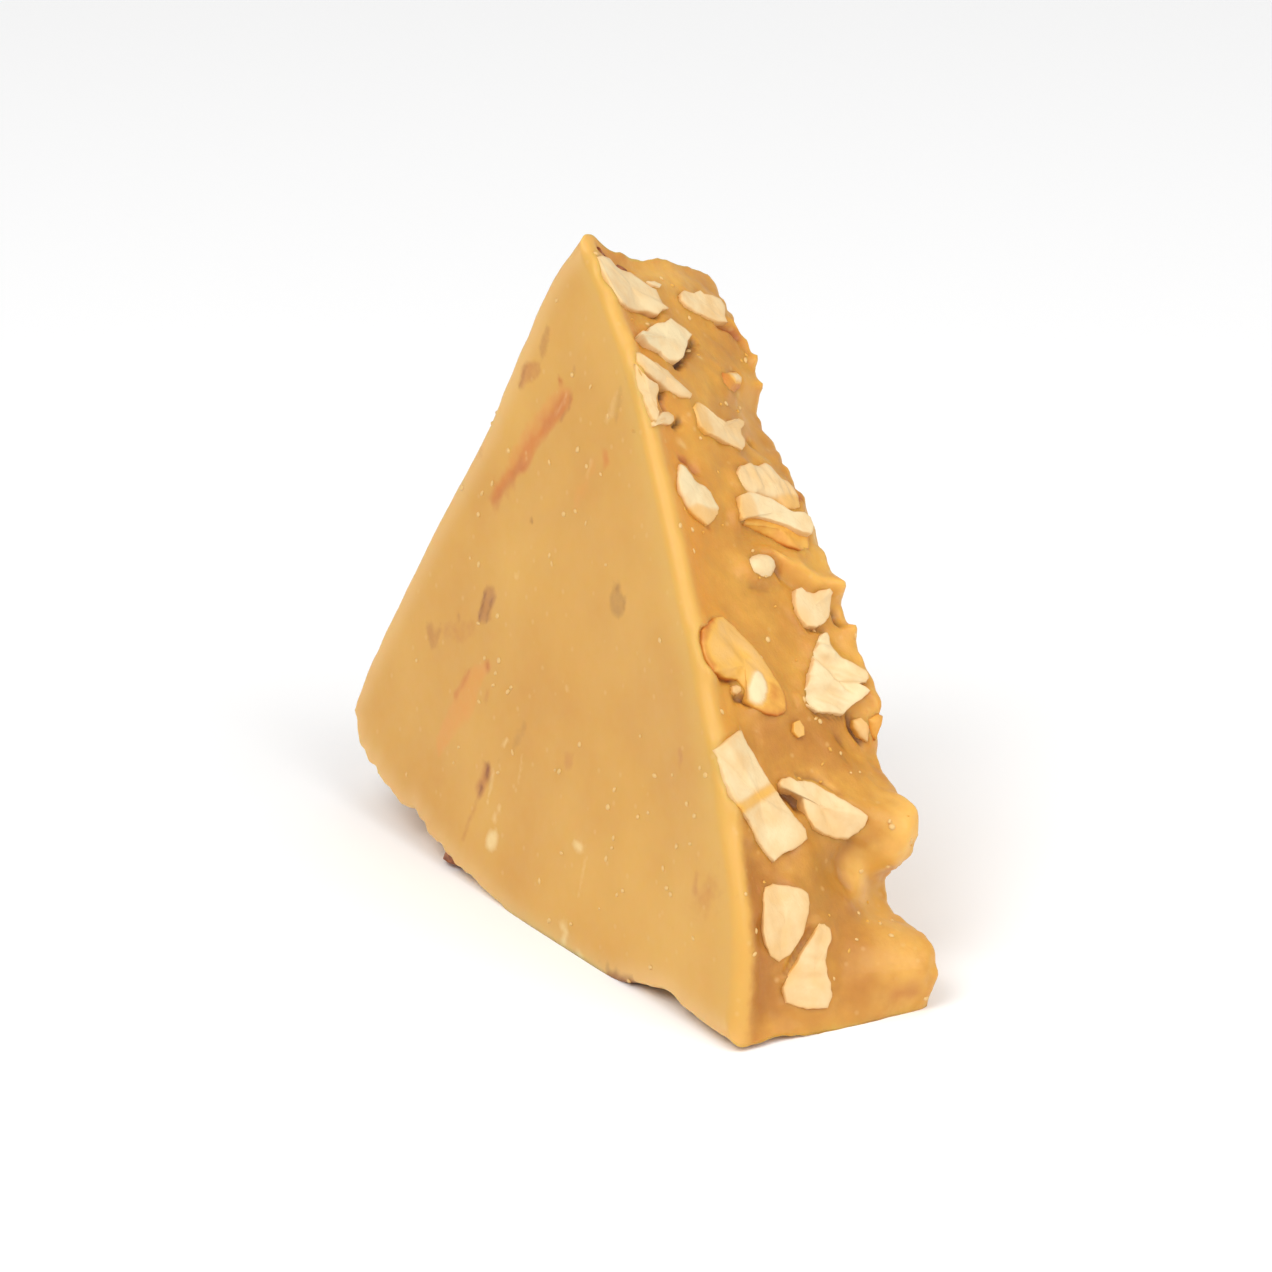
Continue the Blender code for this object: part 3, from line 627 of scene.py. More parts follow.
def distance_to_outline(points, corners):
    """Signed distances from points to a closed outline: negative inside it."""
    starts = np.array(corners, float)
    ends = np.roll(starts, -1, axis=0)
    edge = ends - starts
    arm = points[:, None, :] - starts[None]
    share = np.clip((arm * edge).sum(-1) / (edge ** 2).sum(-1), 0, 1)
    gap = np.linalg.norm(arm - share[..., None] * edge, axis=-1).min(1)
    y = points[:, None, 1]
    spans = (starts[:, 1] > y) != (ends[:, 1] > y)
    rise = np.where(np.abs(edge[:, 1]) < 1e-9, 1e-9, edge[:, 1])
    crossing = starts[:, 0] + (y - starts[:, 1]) / rise * edge[:, 0]
    inside = (spans & (points[:, None, 0] < crossing)).sum(1) % 2 == 1
    return np.where(inside, -gap, gap)


def distance_to_path(points, path):
    """Distances from points to a path of straight stretches."""
    nearest = np.full(len(points), 1e9)
    for start, end in zip(np.array(path[:-1], float), np.array(path[1:], float)):
        share = np.clip((points - start) @ (end - start) / ((end - start) ** 2).sum(), 0, 1)
        gap = np.linalg.norm(points - start - share[:, None] * (end - start), axis=1)
        nearest = np.minimum(nearest, gap)
    return nearest


def in_batches(measure, points, edge):
    """Measures distances from points to an edge in batches, so that the arrays stay small."""
    return np.concatenate([measure(batch, edge) for batch in np.array_split(points, BATCHES)])


def distance_to_row(points, edge):
    """Distances from points of a face to a row of points on its rim."""
    return np.linalg.norm(points[:, None] - edge[None], axis=-1).min(1)


def bell(distance, width):
    """A soft bump: 1 at no distance, and fading over the width."""
    return np.exp(-((distance / width) ** 2))


def apex_dent(away, back):
    """How deep the dip in the top edge is at a distance from the apex and behind the front face."""
    return APEX_DENT * bell(away, APEX_DENT_ALONG) * bell(back - APEX_DENT_BACK, APEX_DENT_DEEP)


def standing(points, lowest=0.0):
    """Places in the slab (along, up, back) as points of the standing shard, in metres."""
    u, v, depth = np.asarray(points, float).T
    x = u - ORIGIN_ALONG
    y = v * math.sin(LEAN) + depth * math.cos(LEAN) - ORIGIN_BACK
    z = v * math.cos(LEAN) - depth * math.sin(LEAN) - BASE_DROP
    return np.stack([x, y, np.maximum(z, lowest)], axis=1) * MM


def edge_rows(radius, steps):
    """Depth and inset of the rings that round off one edge, from the face outwards."""
    angles = np.arange(steps) / steps * math.pi / 2
    return [(radius * (1 - math.cos(a)), radius * (1 - math.sin(a))) for a in angles]


def wall_rows():
    """Depth and inset of every ring of the break, from the front face to the back."""
    rows = edge_rows(RIDGE_RADIUS, RIDGE_STEPS)
    first, last = RIDGE_RADIUS, SLAB_THICKNESS - BACK_RADIUS
    rows += [(first + (last - first) * k / WALL_STEPS, 0.0) for k in range(WALL_STEPS + 1)]
    back = reversed(edge_rows(BACK_RADIUS, BACK_STEPS))
    return rows + [(SLAB_THICKNESS - depth, inset) for depth, inset in back]


def other_almonds():
    """Almonds for the sides that are turned away, drawn by a seeded rule."""
    draw = random.Random(OTHER_SEED)
    rows = []
    for name, count in OTHER_ALMONDS.items():
        for k in range(count):
            long = draw.uniform(*OTHER_LONG)
            wide = long * draw.uniform(*OTHER_WIDE)
            turn = draw.uniform(0, math.pi)
            clear = OTHER_EDGE + long
            down = SIDE_LENGTH[name] * (k + 0.5 + draw.uniform(-OTHER_SPREAD, OTHER_SPREAD)) / count
            down = min(max(down, OTHER_END), SIDE_LENGTH[name] - OTHER_END)
            back = clear + (SLAB_THICKNESS - 2 * clear) * ((k * OTHER_STRIDE) % 1.0)
            sides = draw.choice(OTHER_SIDES)
            corners = []
            for corner in range(sides):
                angle = 2 * math.pi * (corner + draw.uniform(-OTHER_SKEW, OTHER_SKEW)) / sides
                a, b = long * math.cos(angle), wide * math.sin(angle)
                corners.append((down + a * math.cos(turn) - b * math.sin(turn),
                                back + a * math.sin(turn) + b * math.cos(turn)))
            rows.append((name, draw.uniform(*OTHER_PROUD), corners))
    return rows


def along_edges(corners, draw, rag, shares_of):
    """Points along the edges of an outline, each moved in or out by up to rag."""
    points = []
    for start, end in zip(corners, corners[1:] + corners[:1]):
        a, b = Vector(start), Vector(end)
        side = Vector((b.y - a.y, a.x - b.x)).normalized()
        points += [a.lerp(b, share) + side * draw.uniform(-rag, rag) for share in shares_of(b - a)]
    return points


def chipped(corners, draw):
    """The corners of a drawn almond with more of them between, so that no side stays straight."""
    return [tuple(p) for p in along_edges(corners, draw, OTHER_RAG, lambda edge: OTHER_CHIPS)]


def cut_shares(edge):
    """Shares of an edge at short steps."""
    count = max(1, round(edge.length / ALMOND_STEP))
    return [k / count for k in range(count)]


def all_almonds():
    """Every cut almond: side, how far it stands out, toast, rounding, corners, ridges and tints."""
    rows = []
    for name, row in NUTTY_ALMONDS.items():
        tints = [tint[1:] for tint in ALMOND_TINTS if tint[0] == name]
        rows.append(("nutty", *row, ALMOND_RIDGES.get(name, FAINT_RIDGES), tints))
    draw = random.Random(OTHER_SEED + 1)
    for name, proud, corners in other_almonds():
        toast = draw.choice(OTHER_TOASTS)
        rounded = draw.uniform(*OTHER_ROUNDED)
        rows.append((name, proud, toast, rounded, chipped(corners, draw), OTHER_RIDGES, ()))
    return rows


ALMONDS = all_almonds()


def side_grid(name, depths):
    """Places (down, back) of every point of one side of the break, ring by ring."""
    downs = SIDE_LENGTH[name] * np.arange(SIDE_STEPS[name]) / SIDE_STEPS[name]
    return np.stack(np.meshgrid(downs, depths), axis=-1).reshape(-1, 2)


def break_fields(depths):
    """The relief of every ring, and how near each of its points is to an almond.

    Both come as arrays with one line for each ring, in millimetres.
    """
    swell, crag, hollow, small, at_edge, notch = SIDE_VALUES
    heights = np.zeros((len(depths), AROUND))
    for r, depth in enumerate(depths):
        places = np.column_stack([plain_ring(depth / SLAB_THICKNESS), np.full(AROUND, depth)])
        height = swell * noise_at(places, SWELL_LENGTH)
        height += crag * np.array([crags_at(Vector(p)) for p in places])
        height += small * noise_at(places, SMALL_CRAG_LENGTH, SHIFTS["small crag"])
        height += GRIT * noise_at(places, GRIT_LENGTH, SHIFTS["grit"])
        height -= hollow * bell(depth - HOLLOW_AT, HOLLOW_WIDTH)
        height *= np.maximum(min(1.0, depth / RELIEF_FADE, SLAB_THICKNESS - depth), at_edge)
        height -= apex_dent(FROM_APEX, depth)
        rim = bell(SLAB_THICKNESS - depth, EDGE_NOTCH_REACH)
        heights[r] = height + notch * rim * noise_at(places, EDGE_NOTCH_LENGTH, SHIFTS["notch"])
    near = np.full((len(depths), AROUND), FAR_OFF)
    for name, steps in SIDE_STEPS.items():
        columns = slice(SIDE_START[name], SIDE_START[name] + steps)
        grid = side_grid(name, depths)
        gap = np.full(len(grid), FAR_OFF)
        lip = np.zeros(len(grid))
        for side, proud, _, _, corners, _, _ in ALMONDS:
            if side == name:
                clear = distance_to_outline(grid, corners)
                gap = np.minimum(gap, clear)
                lip = np.maximum(lip, proud * bell(np.maximum(clear, 0), LIP_WIDTH))
        rim = noise_at(np.column_stack([grid, np.ones(len(grid))]), RIM_OPEN_LENGTH, SHIFTS["rim"])
        rim = np.clip(RIM_OPEN + rim, RIM_OPEN_LEAST, 1.0)
        parts = [-SOCKET_DEPTH * rim * bell(gap - SOCKET_OUT, SOCKET_WIDTH),
                 LIP_SHARE * (1 - LIP_WHERE_OPEN * rim) * lip,
                 -BED_DEPTH * ease((-gap - BED_FROM[0]) / BED_FROM[1])]
        if name == "nutty":
            parts.append(nutty_relief(grid))
        for part in parts:
            heights[:, columns] += part.reshape(-1, steps)
        near[:, columns] = gap.reshape(-1, steps)
    return heights, near


def nutty_relief(grid):
    """The lumps, tears and pits that only the nutty side has."""
    down, back = grid.T
    total = np.zeros(len(grid))
    for middle, behind, width, height in NUTTY_LUMPS:
        total += height * bell(np.hypot(down - middle, back - behind), width)
    with_tear = (down * math.cos(TEAR_TURN) + back * math.sin(TEAR_TURN)) / TEAR_LENGTH
    across_tear = (back * math.cos(TEAR_TURN) - down * math.sin(TEAR_TURN)) / TEAR_WIDTH
    tears = np.column_stack([with_tear, across_tear, np.zeros(len(grid))])
    tears = TEAR_HEIGHT * noise_at(tears, 1.0, SHIFTS["tear"])
    total += tears * ease((back - TEAR_FROM[0]) / TEAR_FROM[1]) * ease(SLAB_THICKNESS - back)
    for _, width, height, path in NUTTY_FOLDS:
        total += height * bell(distance_to_path(grid, path), width)
    for middle, behind, radius in NUTTY_BUBBLES:
        away = np.hypot(down - middle, back - behind)
        total += BUBBLE_RIM * bell(away - radius, radius / 2) - BUBBLE_DEPTH * bell(away, radius)
    for _, width, depth, _, path in NUTTY_PITS:
        total -= depth * bell(distance_to_path(grid, path), width)
    return total


def face_points(rim, spacing):
    """Staggered points inside the outline of a face, and how far each is from its rim."""
    low, high = rim.min(0), rim.max(0)
    lines = []
    for row in range(int((high[1] - low[1]) / spacing)):
        u = low[0] + (np.arange(int((high[0] - low[0]) / spacing)) + 0.5 * (row % 2)) * spacing
        lines.append(np.column_stack([u, np.full(len(u), low[1] + (row + 0.5) * spacing)]))
    points = np.concatenate(lines)
    clear = -in_batches(distance_to_outline, points, rim)
    inside = clear > spacing * FACE_GRID_CLEAR
    return points[inside], clear[inside]


def drawn_marks(name, low, high, turn):
    """Marks by a seeded rule for a part that is turned away, between two corners of its box."""
    draw = random.Random(MARK_SEED + len(name))
    marks = []
    for _ in range(DRAWN_MARKS[name]):
        start = (draw.uniform(low[0], high[0]), draw.uniform(low[1], high[1]))
        long, angle = draw.uniform(*DRAWN_LONG), turn + draw.uniform(-DRAWN_SPREAD, DRAWN_SPREAD)
        end = (start[0] + long * math.cos(angle), start[1] + long * math.sin(angle))
        tone = draw.choice(DRAWN_TONES)
        marks.append((tone, draw.uniform(*DRAWN_WIDE), draw.uniform(*DRAWN_STRONG), [start, end]))
    return marks


def mark_colours(points, marks, flakes=()):
    """The colour of the marks at each point, with their strength as alpha."""
    colours = np.zeros((len(points), 4))
    colours[:, :3] = linear(FACE_DEEP)[:3]
    places = np.column_stack([points, np.zeros(len(points))])
    drift = np.column_stack([noise_at(places, MARK_DRIFT_LENGTH, shift) for shift in DRIFT_SHIFTS])
    points = points + MARK_DRIFT * drift
    uneven = 1 + MARK_UNEVEN * noise_at(places, MARK_UNEVEN_LENGTH, SHIFTS["uneven"])
    covers = [(tone, strength * ease(0.5 - distance_to_outline(points, corners) / FLAKE_BLUR / 2))
              for tone, strength, corners in flakes]
    covers += [(tone, strength * bell(distance_to_path(points, path), width * uneven))
               for tone, width, strength, path in marks]
    for tone, cover in covers:
        share = (cover / np.maximum(cover + colours[:, 3] * (1 - cover), 1e-6))[:, None]
        colours[:, :3] += (np.array(linear(MARK_AND_LIGHT_TONES[tone])[:3]) - colours[:, :3]) * share
        colours[:, 3] = cover + colours[:, 3] * (1 - cover)
    return colours


def give_attribute(mesh, name, kind, values):
    """Stores values on a mesh's points, for its material to read."""
    field = "color" if kind == "FLOAT_COLOR" else "value"
    data = mesh.attributes.new(name, kind, "POINT").data
    data.foreach_set(field, np.asarray(values, float).ravel())


def outward_faces(mesh):
    """Turns a closed mesh's faces outwards."""
    shell = bmesh.new()
    shell.from_mesh(mesh)
    bmesh.ops.recalc_face_normals(shell, faces=shell.faces)
    shell.to_mesh(mesh)
    shell.free()


def add_piece(name, mesh, material):
    """Makes a finished mesh a piece of the shard."""
    mesh.name = name
    mesh.materials.append(material)
    mesh.shade_smooth()
    piece = bpy.data.objects.new(name, mesh)
    bpy.context.scene.collection.objects.link(piece)
    return piece


def bands(first, rings, around):
    """The faces between rings of points that follow one another."""
    return [(a + i, a + (i + 1) % around, a + around + (i + 1) % around, a + around + i)
            for a in range(first, first + (rings - 1) * around, around) for i in range(around)]


def toffee_mesh():
    """The toffee: two smooth faces and the break between them, with fields for its material."""
    rows = wall_rows()
    depths = np.array([depth for depth, _ in rows])
    heights, near = break_fields(depths)
    points, ridge, thin, broken, gaps = [], [], [], [], list(near)
    for (depth, inset), height in zip(rows, heights):
        ring = plain_ring(depth / SLAB_THICKNESS)
        inset = inset * ROUNDING if depth < RIDGE_RADIUS else inset
        ring = ring + outward(ring) * (height - inset)[:, None]
        points.append(np.column_stack([ring, np.full(AROUND, depth)]))
        # painted glow: along the ridge on the nutty side, and along the thin rims of the other
        # sides
        ridge.append(ON_NUTTY * bell(max(depth - GLOW_FROM, 0.0), GLOW_BACK))
        thin.append((1 - ON_NUTTY) * bell(depth, THIN_BACK))
        inside = ease((depth - BREAK_FROM[0]) / BREAK_FROM[1])
        inside *= ease((BREAK_TO[0] - depth) / BREAK_TO[1])
        broken.append(np.full(AROUND, float(inside)))
    faces = bands(0, len(rows), AROUND)
    made = len(rows) * AROUND
    ends = (("front", 0, 0.0), ("back", made - AROUND, SLAB_THICKNESS))
    for end, first, depth in ends:
        rim = points[first // AROUND][:, :2]
        inner, clear = face_points(rim, FACE_GRID[end])
        places = np.column_stack([inner, np.full(len(inner), depth)])
        warp = FACE_WARP * np.clip(clear / FACE_WARP_REACH, 0, 1)
        warp *= noise_at(places, FACE_WARP_LENGTH)
        ripple = noise_at(places, FACE_RIPPLE_LENGTH, SHIFTS["ripple"])
        places[:, 2] += warp + FACE_RIPPLE * np.clip(clear, 0, 1) * ripple
        flat = [Vector(p) for p in np.concatenate([rim, inner])]
        _, _, triangles, origins, _, _ = delaunay_2d_cdt(flat, [], [list(range(AROUND))], 1, 1e-6)
        for triangle in triangles:
            known = [origins[corner][0] for corner in triangle]
            faces.append(tuple(first + k if k < AROUND else made + k - AROUND for k in known))
        points.append(places)
        facing = float(end == "front")
        nutty, others = np.split(rim, [SIDE_STEPS["nutty"]])
        # the painted glow reaches onto the front face from the ridge and from the thin rims
        width = GLOW_WIDTH * (1 + GLOW_WIDENS * np.clip(1 - inner[:, 1] / GLOW_WIDENS_BELOW, 0, 1))
        ridge.append(facing * bell(in_batches(distance_to_row, inner, nutty), width))
        thin.append(facing * bell(in_batches(distance_to_row, inner, others), THIN_WIDTH))
        broken.append(np.zeros(len(inner)))
        gaps.append(np.full(len(inner), FAR_OFF))
        made += len(inner)
    places, ridge, thin, broken, gaps = map(np.concatenate, (points, ridge, thin, broken, gaps))
    ridge *= GLOW_LOW + (1 - GLOW_LOW) * np.clip(places[:, 1] / GLOW_LOW_BELOW, 0, 1)
    mesh = bpy.data.meshes.new("toffee")
    mesh.from_pydata(standing(places).tolist(), [], faces)
    # the marks field also carries the painted highlights, glow and shade of the nutty side
    give_attribute(mesh, "marks", "FLOAT_COLOR", toffee_marks_and_painted_light(depths, places, broken))
    # painted shade round the almonds, strongest at their edges
    by_almond = np.exp(-np.maximum(gaps, 0) / ALMOND_REACH)
    fields = {"ridge": ridge, "thin": thin, "broken": broken, "by_almond": by_almond}
    for name, values in fields.items():
        give_attribute(mesh, name, "FLOAT", values)
    outward_faces(mesh)
    return mesh


def toffee_marks_and_painted_light(depths, places, broken):
    """The marks of both smooth faces and of every side of the break, with the painted highlights,
    glow and shade of the nutty side.
    """
    colours = np.zeros((len(places), 4))
    front = places[:, 2] < SLAB_THICKNESS / 2
    colours[front] = mark_colours(places[front, :2], FACE_SPOTS, FACE_FLAKES)
    colours[~front] = mark_colours(places[~front, :2], drawn_marks("back", *BACK_MARKS))
    colours[:, 3] *= 1 - broken
    for name, steps in SIDE_STEPS.items():
        if name == "nutty":
            # the nutty side's tones and pit tones are painted highlights, glow and shade
            marks = NUTTY_TONES + [(tone, width, strength, path)
                                   for tone, width, _, strength, path in NUTTY_PITS]
        else:
            high = (SIDE_LENGTH[name] - 1, SLAB_THICKNESS - 1)
            marks = drawn_marks(name, (1, 1), high, SIDE_MARKS_TURN)
        drawn = mark_colours(side_grid(name, depths), marks)
        index = np.arange(len(depths))[:, None] * AROUND + SIDE_START[name] + np.arange(steps)
        index = index.ravel()
        drawn[:, 3] *= broken[index]
        stronger = drawn[:, 3] > colours[index, 3]
        colours[index[stronger]] = drawn[stronger]
    return colours


def coarse_relief(name, down, place):
    """The larger relief of the break at one place, on which the almonds sit."""
    swell, crag, hollow, _, _, _ = SIDE_RELIEF[name]
    back = place.z
    height = swell * noise.noise(place / SWELL_LENGTH)
    height += crag * crags_at(place)
    height -= hollow * float(bell(back - HOLLOW_AT, HOLLOW_WIDTH))
    height *= max(0.0, min(1.0, back / RELIEF_FADE, SLAB_THICKNESS - back))
    if name in ("nutty", "far"):
        away = down if name == "nutty" else SIDE_LENGTH[name] - down
        height -= float(apex_dent(away, back))
    if name == "nutty":
        for middle, behind, width, lump in NUTTY_LUMPS:
            height += lump * float(bell(math.hypot(down - middle, back - behind), width))
    return height


def on_break(name, down, back):
    """A place on one side of the break, given along its front edge and back from it."""
    step = min(max(down / SIDE_LENGTH[name], 0.0), 1.0) * SIDE_STEPS[name]
    k = min(int(step), SIDE_STEPS[name] - 1)
    ring = plain_ring(back / SLAB_THICKNESS)
    at = SIDE_START[name] + k
    p = Vector(ring[at]).lerp(Vector(ring[(at + 1) % AROUND]), step - k)
    along = Vector(ring[(at + FOOT_NORMAL_REACH) % AROUND] - ring[at - FOOT_NORMAL_REACH])
    normal = Vector((-along.y, along.x)).normalized()
    near_ridge = 1 - min(max(back, 0.0) / RIDGE_RADIUS, 1.0)
    rounding = EDGE_SHARE[name] * RIDGE_RADIUS * (1 - math.sqrt(1 - near_ridge ** 2))
    p = p + normal * (coarse_relief(name, down, Vector((p.x, p.y, back))) - rounding)
    return Vector((p.x, p.y, back))


def tinted(places, tone, tints):
    """The toast and the extra height at places of one almond."""
    tones = np.full(len(places), float(tone))
    lifts = np.zeros(len(places))
    for tint, lift, patch in tints:
        cover = ease(0.5 - distance_to_outline(places, patch) / TINT_BLUR / 2)
        tones += (tint - tones) * cover
        lifts += lift * cover
    return tones, lifts


def add_chip(points, faces, toast, name, proud, tone, rounded, corners, ridges, tints, seed):
    """Adds one chip that sits in the break: cut sides and an uneven top, flat or rounded."""
    draw = random.Random(seed)
    edge = along_edges(corners, draw, ALMOND_RAG, cut_shares)
    feet = [on_break(name, *p) for p in edge]
    flat = np.array(edge)
    centre = flat.mean(0)
    middle = sum(feet, Vector()) / len(feet)
    down, back = (sum(c[k] for c in corners) / len(corners) for k in (0, 1))
    along = on_break(name, down + 0.5, back) - on_break(name, down - 0.5, back)
    across = on_break(name, down, back + 0.5) - on_break(name, down, back - 0.5)
    out = across.cross(along).normalized()
    tilt = Vector([draw.uniform(-ALMOND_TILT, ALMOND_TILT) for _ in range(3)])
    high, turn = ridges
    a, b = along.normalized(), across.normalized()
    with_ridge = (a * math.cos(turn) + b * math.sin(turn)) / RIDGE_LENGTH
    over_ridge = (b * math.cos(turn) - a * math.sin(turn)) / RIDGE_GAP
    shift = Vector([draw.uniform(0, ALMOND_SHIFT) for _ in range(3)])
    start = len(points)
    count = len(feet)
    for scale, share, extra, browner in ALMOND_RINGS:
        tones, lifts = tinted(centre + (flat - centre) * scale, tone, tints)
        toast.extend(tones + browner)
        for foot, lift in zip(feet, lifts):
            arm = (foot - middle) * scale
            height = proud * share + extra
            if share > 0:
                height += proud * share * (tilt.dot(arm) - rounded * scale ** 3)
                place = middle + arm
                height += ALMOND_WAVES[0] * share * noise.noise(place / ALMOND_WAVES[1] + shift)
                height += ALMOND_GRAIN[0] * noise.noise(place / ALMOND_GRAIN[1] + shift)
                ridged = noise.noise(Vector((arm.dot(with_ridge), arm.dot(over_ridge), 0)) + shift)
                height += high * share * (min(ridged, RIDGE_CUT) - RIDGE_MIDDLE) + lift * share
            points.append(middle + arm + out * height)
    points.append(middle + out * (proud + ALMOND_CROWN))
    toast.extend(tinted(centre[None], tone, tints)[0])
    faces.extend(bands(start, len(ALMOND_RINGS), count))
    last = start + (len(ALMOND_RINGS) - 1) * count
    faces.extend((last + i, last + (i + 1) % count, len(points) - 1) for i in range(count))
    faces.append(tuple(start + i for i in reversed(range(count))))


def chip_mesh(chips):
    """Chips given as (side, stands out, toast, rounded, corners, ridges, tints) as one mesh."""
    points, faces, toast = [], [], []
    for seed, chip in enumerate(chips):
        add_chip(points, faces, toast, *chip, seed)
    mesh = bpy.data.meshes.new("chips")
    mesh.from_pydata(standing(points, ALMOND_FLOOR).tolist(), [], faces)
    give_attribute(mesh, "toast", "FLOAT", toast)
    outward_faces(mesh)
    return mesh


def add_node(tree, kind, inputs=None, stops=None, **settings):
    """Adds a node: settings are its own properties, inputs are values or other sockets."""
    made = tree.nodes.new(kind)
    for name, value in settings.items():
        setattr(made, name, value)
    for name, value in (inputs or {}).items():
        if isinstance(value, bpy.types.NodeSocket):
            tree.links.new(value, made.inputs[name])
        else:
            made.inputs[name].default_value = value
    if stops:
        ramp = made.color_ramp
        while len(ramp.elements) < len(stops):
            ramp.elements.new(0.5)
        for element, (position, colour) in zip(ramp.elements, stops):
            element.position = position
            element.color = colour
    return made


def maths(tree, operation, first, second):
    """The result of one operation on two numbers."""
    return add_node(tree, "ShaderNodeMath", {0: first, 1: second}, operation=operation).outputs[0]


def spread(tree, value, *ends):
    """A number taken from one range to another, each given by its ends, and kept inside."""
    return add_node(tree, "ShaderNodeMapRange", {0: value, **dict(enumerate(ends, 1))}).outputs[0]


def grain(tree, place, length, detail=3.0, **more):
    """Noise with a grain of so many millimetres."""
    inputs = {"Vector": place, "Scale": 1 / (length * MM), "Detail": detail, **more}
    return add_node(tree, "ShaderNodeTexNoise", inputs).outputs[0]


def toned(tree, value, *stops):
    """The colours of a ramp, given as places on it and sRGB codes."""
    stops = [(position, linear(code)) for position, code in stops]
    return add_node(tree, "ShaderNodeValToRGB", {0: value}, stops).outputs[0]


def laid_over(tree, share, below, above):
    """One colour laid over another."""
    inputs = {0: share, 6: below, 7: above}
    return add_node(tree, "ShaderNodeMix", inputs, data_type="RGBA").outputs[2]


def stored(tree, name, part="Fac"):
    """A field that the mesh carries."""
    return add_node(tree, "ShaderNodeAttribute", attribute_name=name).outputs[part]


def raised(tree, shader, height, strength, depth):
    """Gives the surface a texture that is so many millimetres deep."""
    bump = add_node(tree, "ShaderNodeBump",
                    {"Strength": strength, "Distance": depth * MM, "Height": height})
    tree.links.new(bump.outputs[0], shader.inputs["Normal"])


def new_material(name, values):
    """A material with values on its shader's own sockets, its node tree and that shader."""
    material = bpy.data.materials.new(name)
    material.use_nodes = True
    tree = material.node_tree
    shader = tree.nodes["Principled BSDF"]
    for socket, value in values.items():
        shader.inputs[socket].default_value = value
    return material, tree, shader


def scattered(name, surface, finish, corners, bits, rest, smallest, largest, sunk, uneven, seed):
    """Strews small bits over the toffee, as a piece of its own.

    The break has so many bits for each square metre, and the rest of the toffee a share of that.
    Their sizes lie between the smallest and the largest, and they are sunk and a little uneven.
    """
    tree = bpy.data.node_groups.new(name, "GeometryNodeTree")
    tree.interface.new_socket("Geometry", in_out="OUTPUT", socket_type="NodeSocketGeometry")
    surface = add_node(tree, "GeometryNodeObjectInfo", {"Object": surface})
    field = add_node(tree, "GeometryNodeInputNamedAttribute", {"Name": "broken"}, data_type="FLOAT")
    density = maths(tree, "MAXIMUM", field.outputs[0], rest)
    patchy = add_node(tree, "ShaderNodeTexNoise", {"Scale": PATCH_SCALE, "Detail": 1.0})
    place = add_node(tree, "GeometryNodeInputPosition")
    height = add_node(tree, "ShaderNodeSeparateXYZ", {0: place.outputs[0]})
    for share in (spread(tree, patchy.outputs[0], 0.35, 0.65, 0.25, 1.75),
                  spread(tree, height.outputs["Z"], *BITS_FROM), bits):
        density = maths(tree, "MULTIPLY", density, share)
    strewn = add_node(tree, "GeometryNodeDistributePointsOnFaces",
                      {"Mesh": surface.outputs["Geometry"], "Density": density, "Seed": seed})
    bit = add_node(tree, "GeometryNodeMeshIcoSphere", {"Radius": 0.5, "Subdivisions": corners})
    size, spin = (add_node(tree, "FunctionNodeRandomValue", {0: least, 1: most, "Seed": seed},
                           data_type="FLOAT_VECTOR").outputs[0]
                  for least, most in ((smallest, largest), ((0.0, 0.0, 0.0), (0.0, 0.0, math.tau))))
    made = add_node(tree, "GeometryNodeInstanceOnPoints",
                    {"Points": strewn.outputs["Points"], "Instance": bit.outputs["Mesh"],
                     "Rotation": strewn.outputs["Rotation"], "Scale": size})
    lumpy = add_node(tree, "ShaderNodeTexNoise", {"Scale": LUMP_SCALE, "Detail": 1.0})
    centred = add_node(tree, "ShaderNodeVectorMath",
                       {0: lumpy.outputs["Color"], 1: (0.5, 0.5, 0.5)}, operation="SUBTRACT")
    offset = add_node(tree, "ShaderNodeVectorMath", {0: centred.outputs[0], "Scale": uneven},
                      operation="SCALE")
    for step, taken, more in (
            ("RotateInstances", "Instances", {"Rotation": spin}),
            ("TranslateInstances", "Instances", {"Translation": (0.0, 0.0, sunk)}),
            ("RealizeInstances", "Geometry", {}),
            ("SetPosition", "Geometry", {"Offset": offset.outputs[0]}),
            ("SetMaterial", "Geometry", {"Material": finish})):
        made = add_node(tree, "GeometryNode" + step, {taken: made.outputs[0], **more})
    add_node(tree, "NodeGroupOutput", {"Geometry": made.outputs[0]})
    piece = bpy.data.objects.new(name, bpy.data.meshes.new(name))
    bpy.context.scene.collection.objects.link(piece)
    run = piece.modifiers.new(name, "NODES")
    run.node_group = tree
    bpy.context.view_layer.update()
    done = piece.evaluated_get(bpy.context.evaluated_depsgraph_get())
    result = bpy.data.meshes.new_from_object(done)
    piece.modifiers.remove(run)
    piece.data = result
    result.name = name
    result.shade_smooth()
    return piece


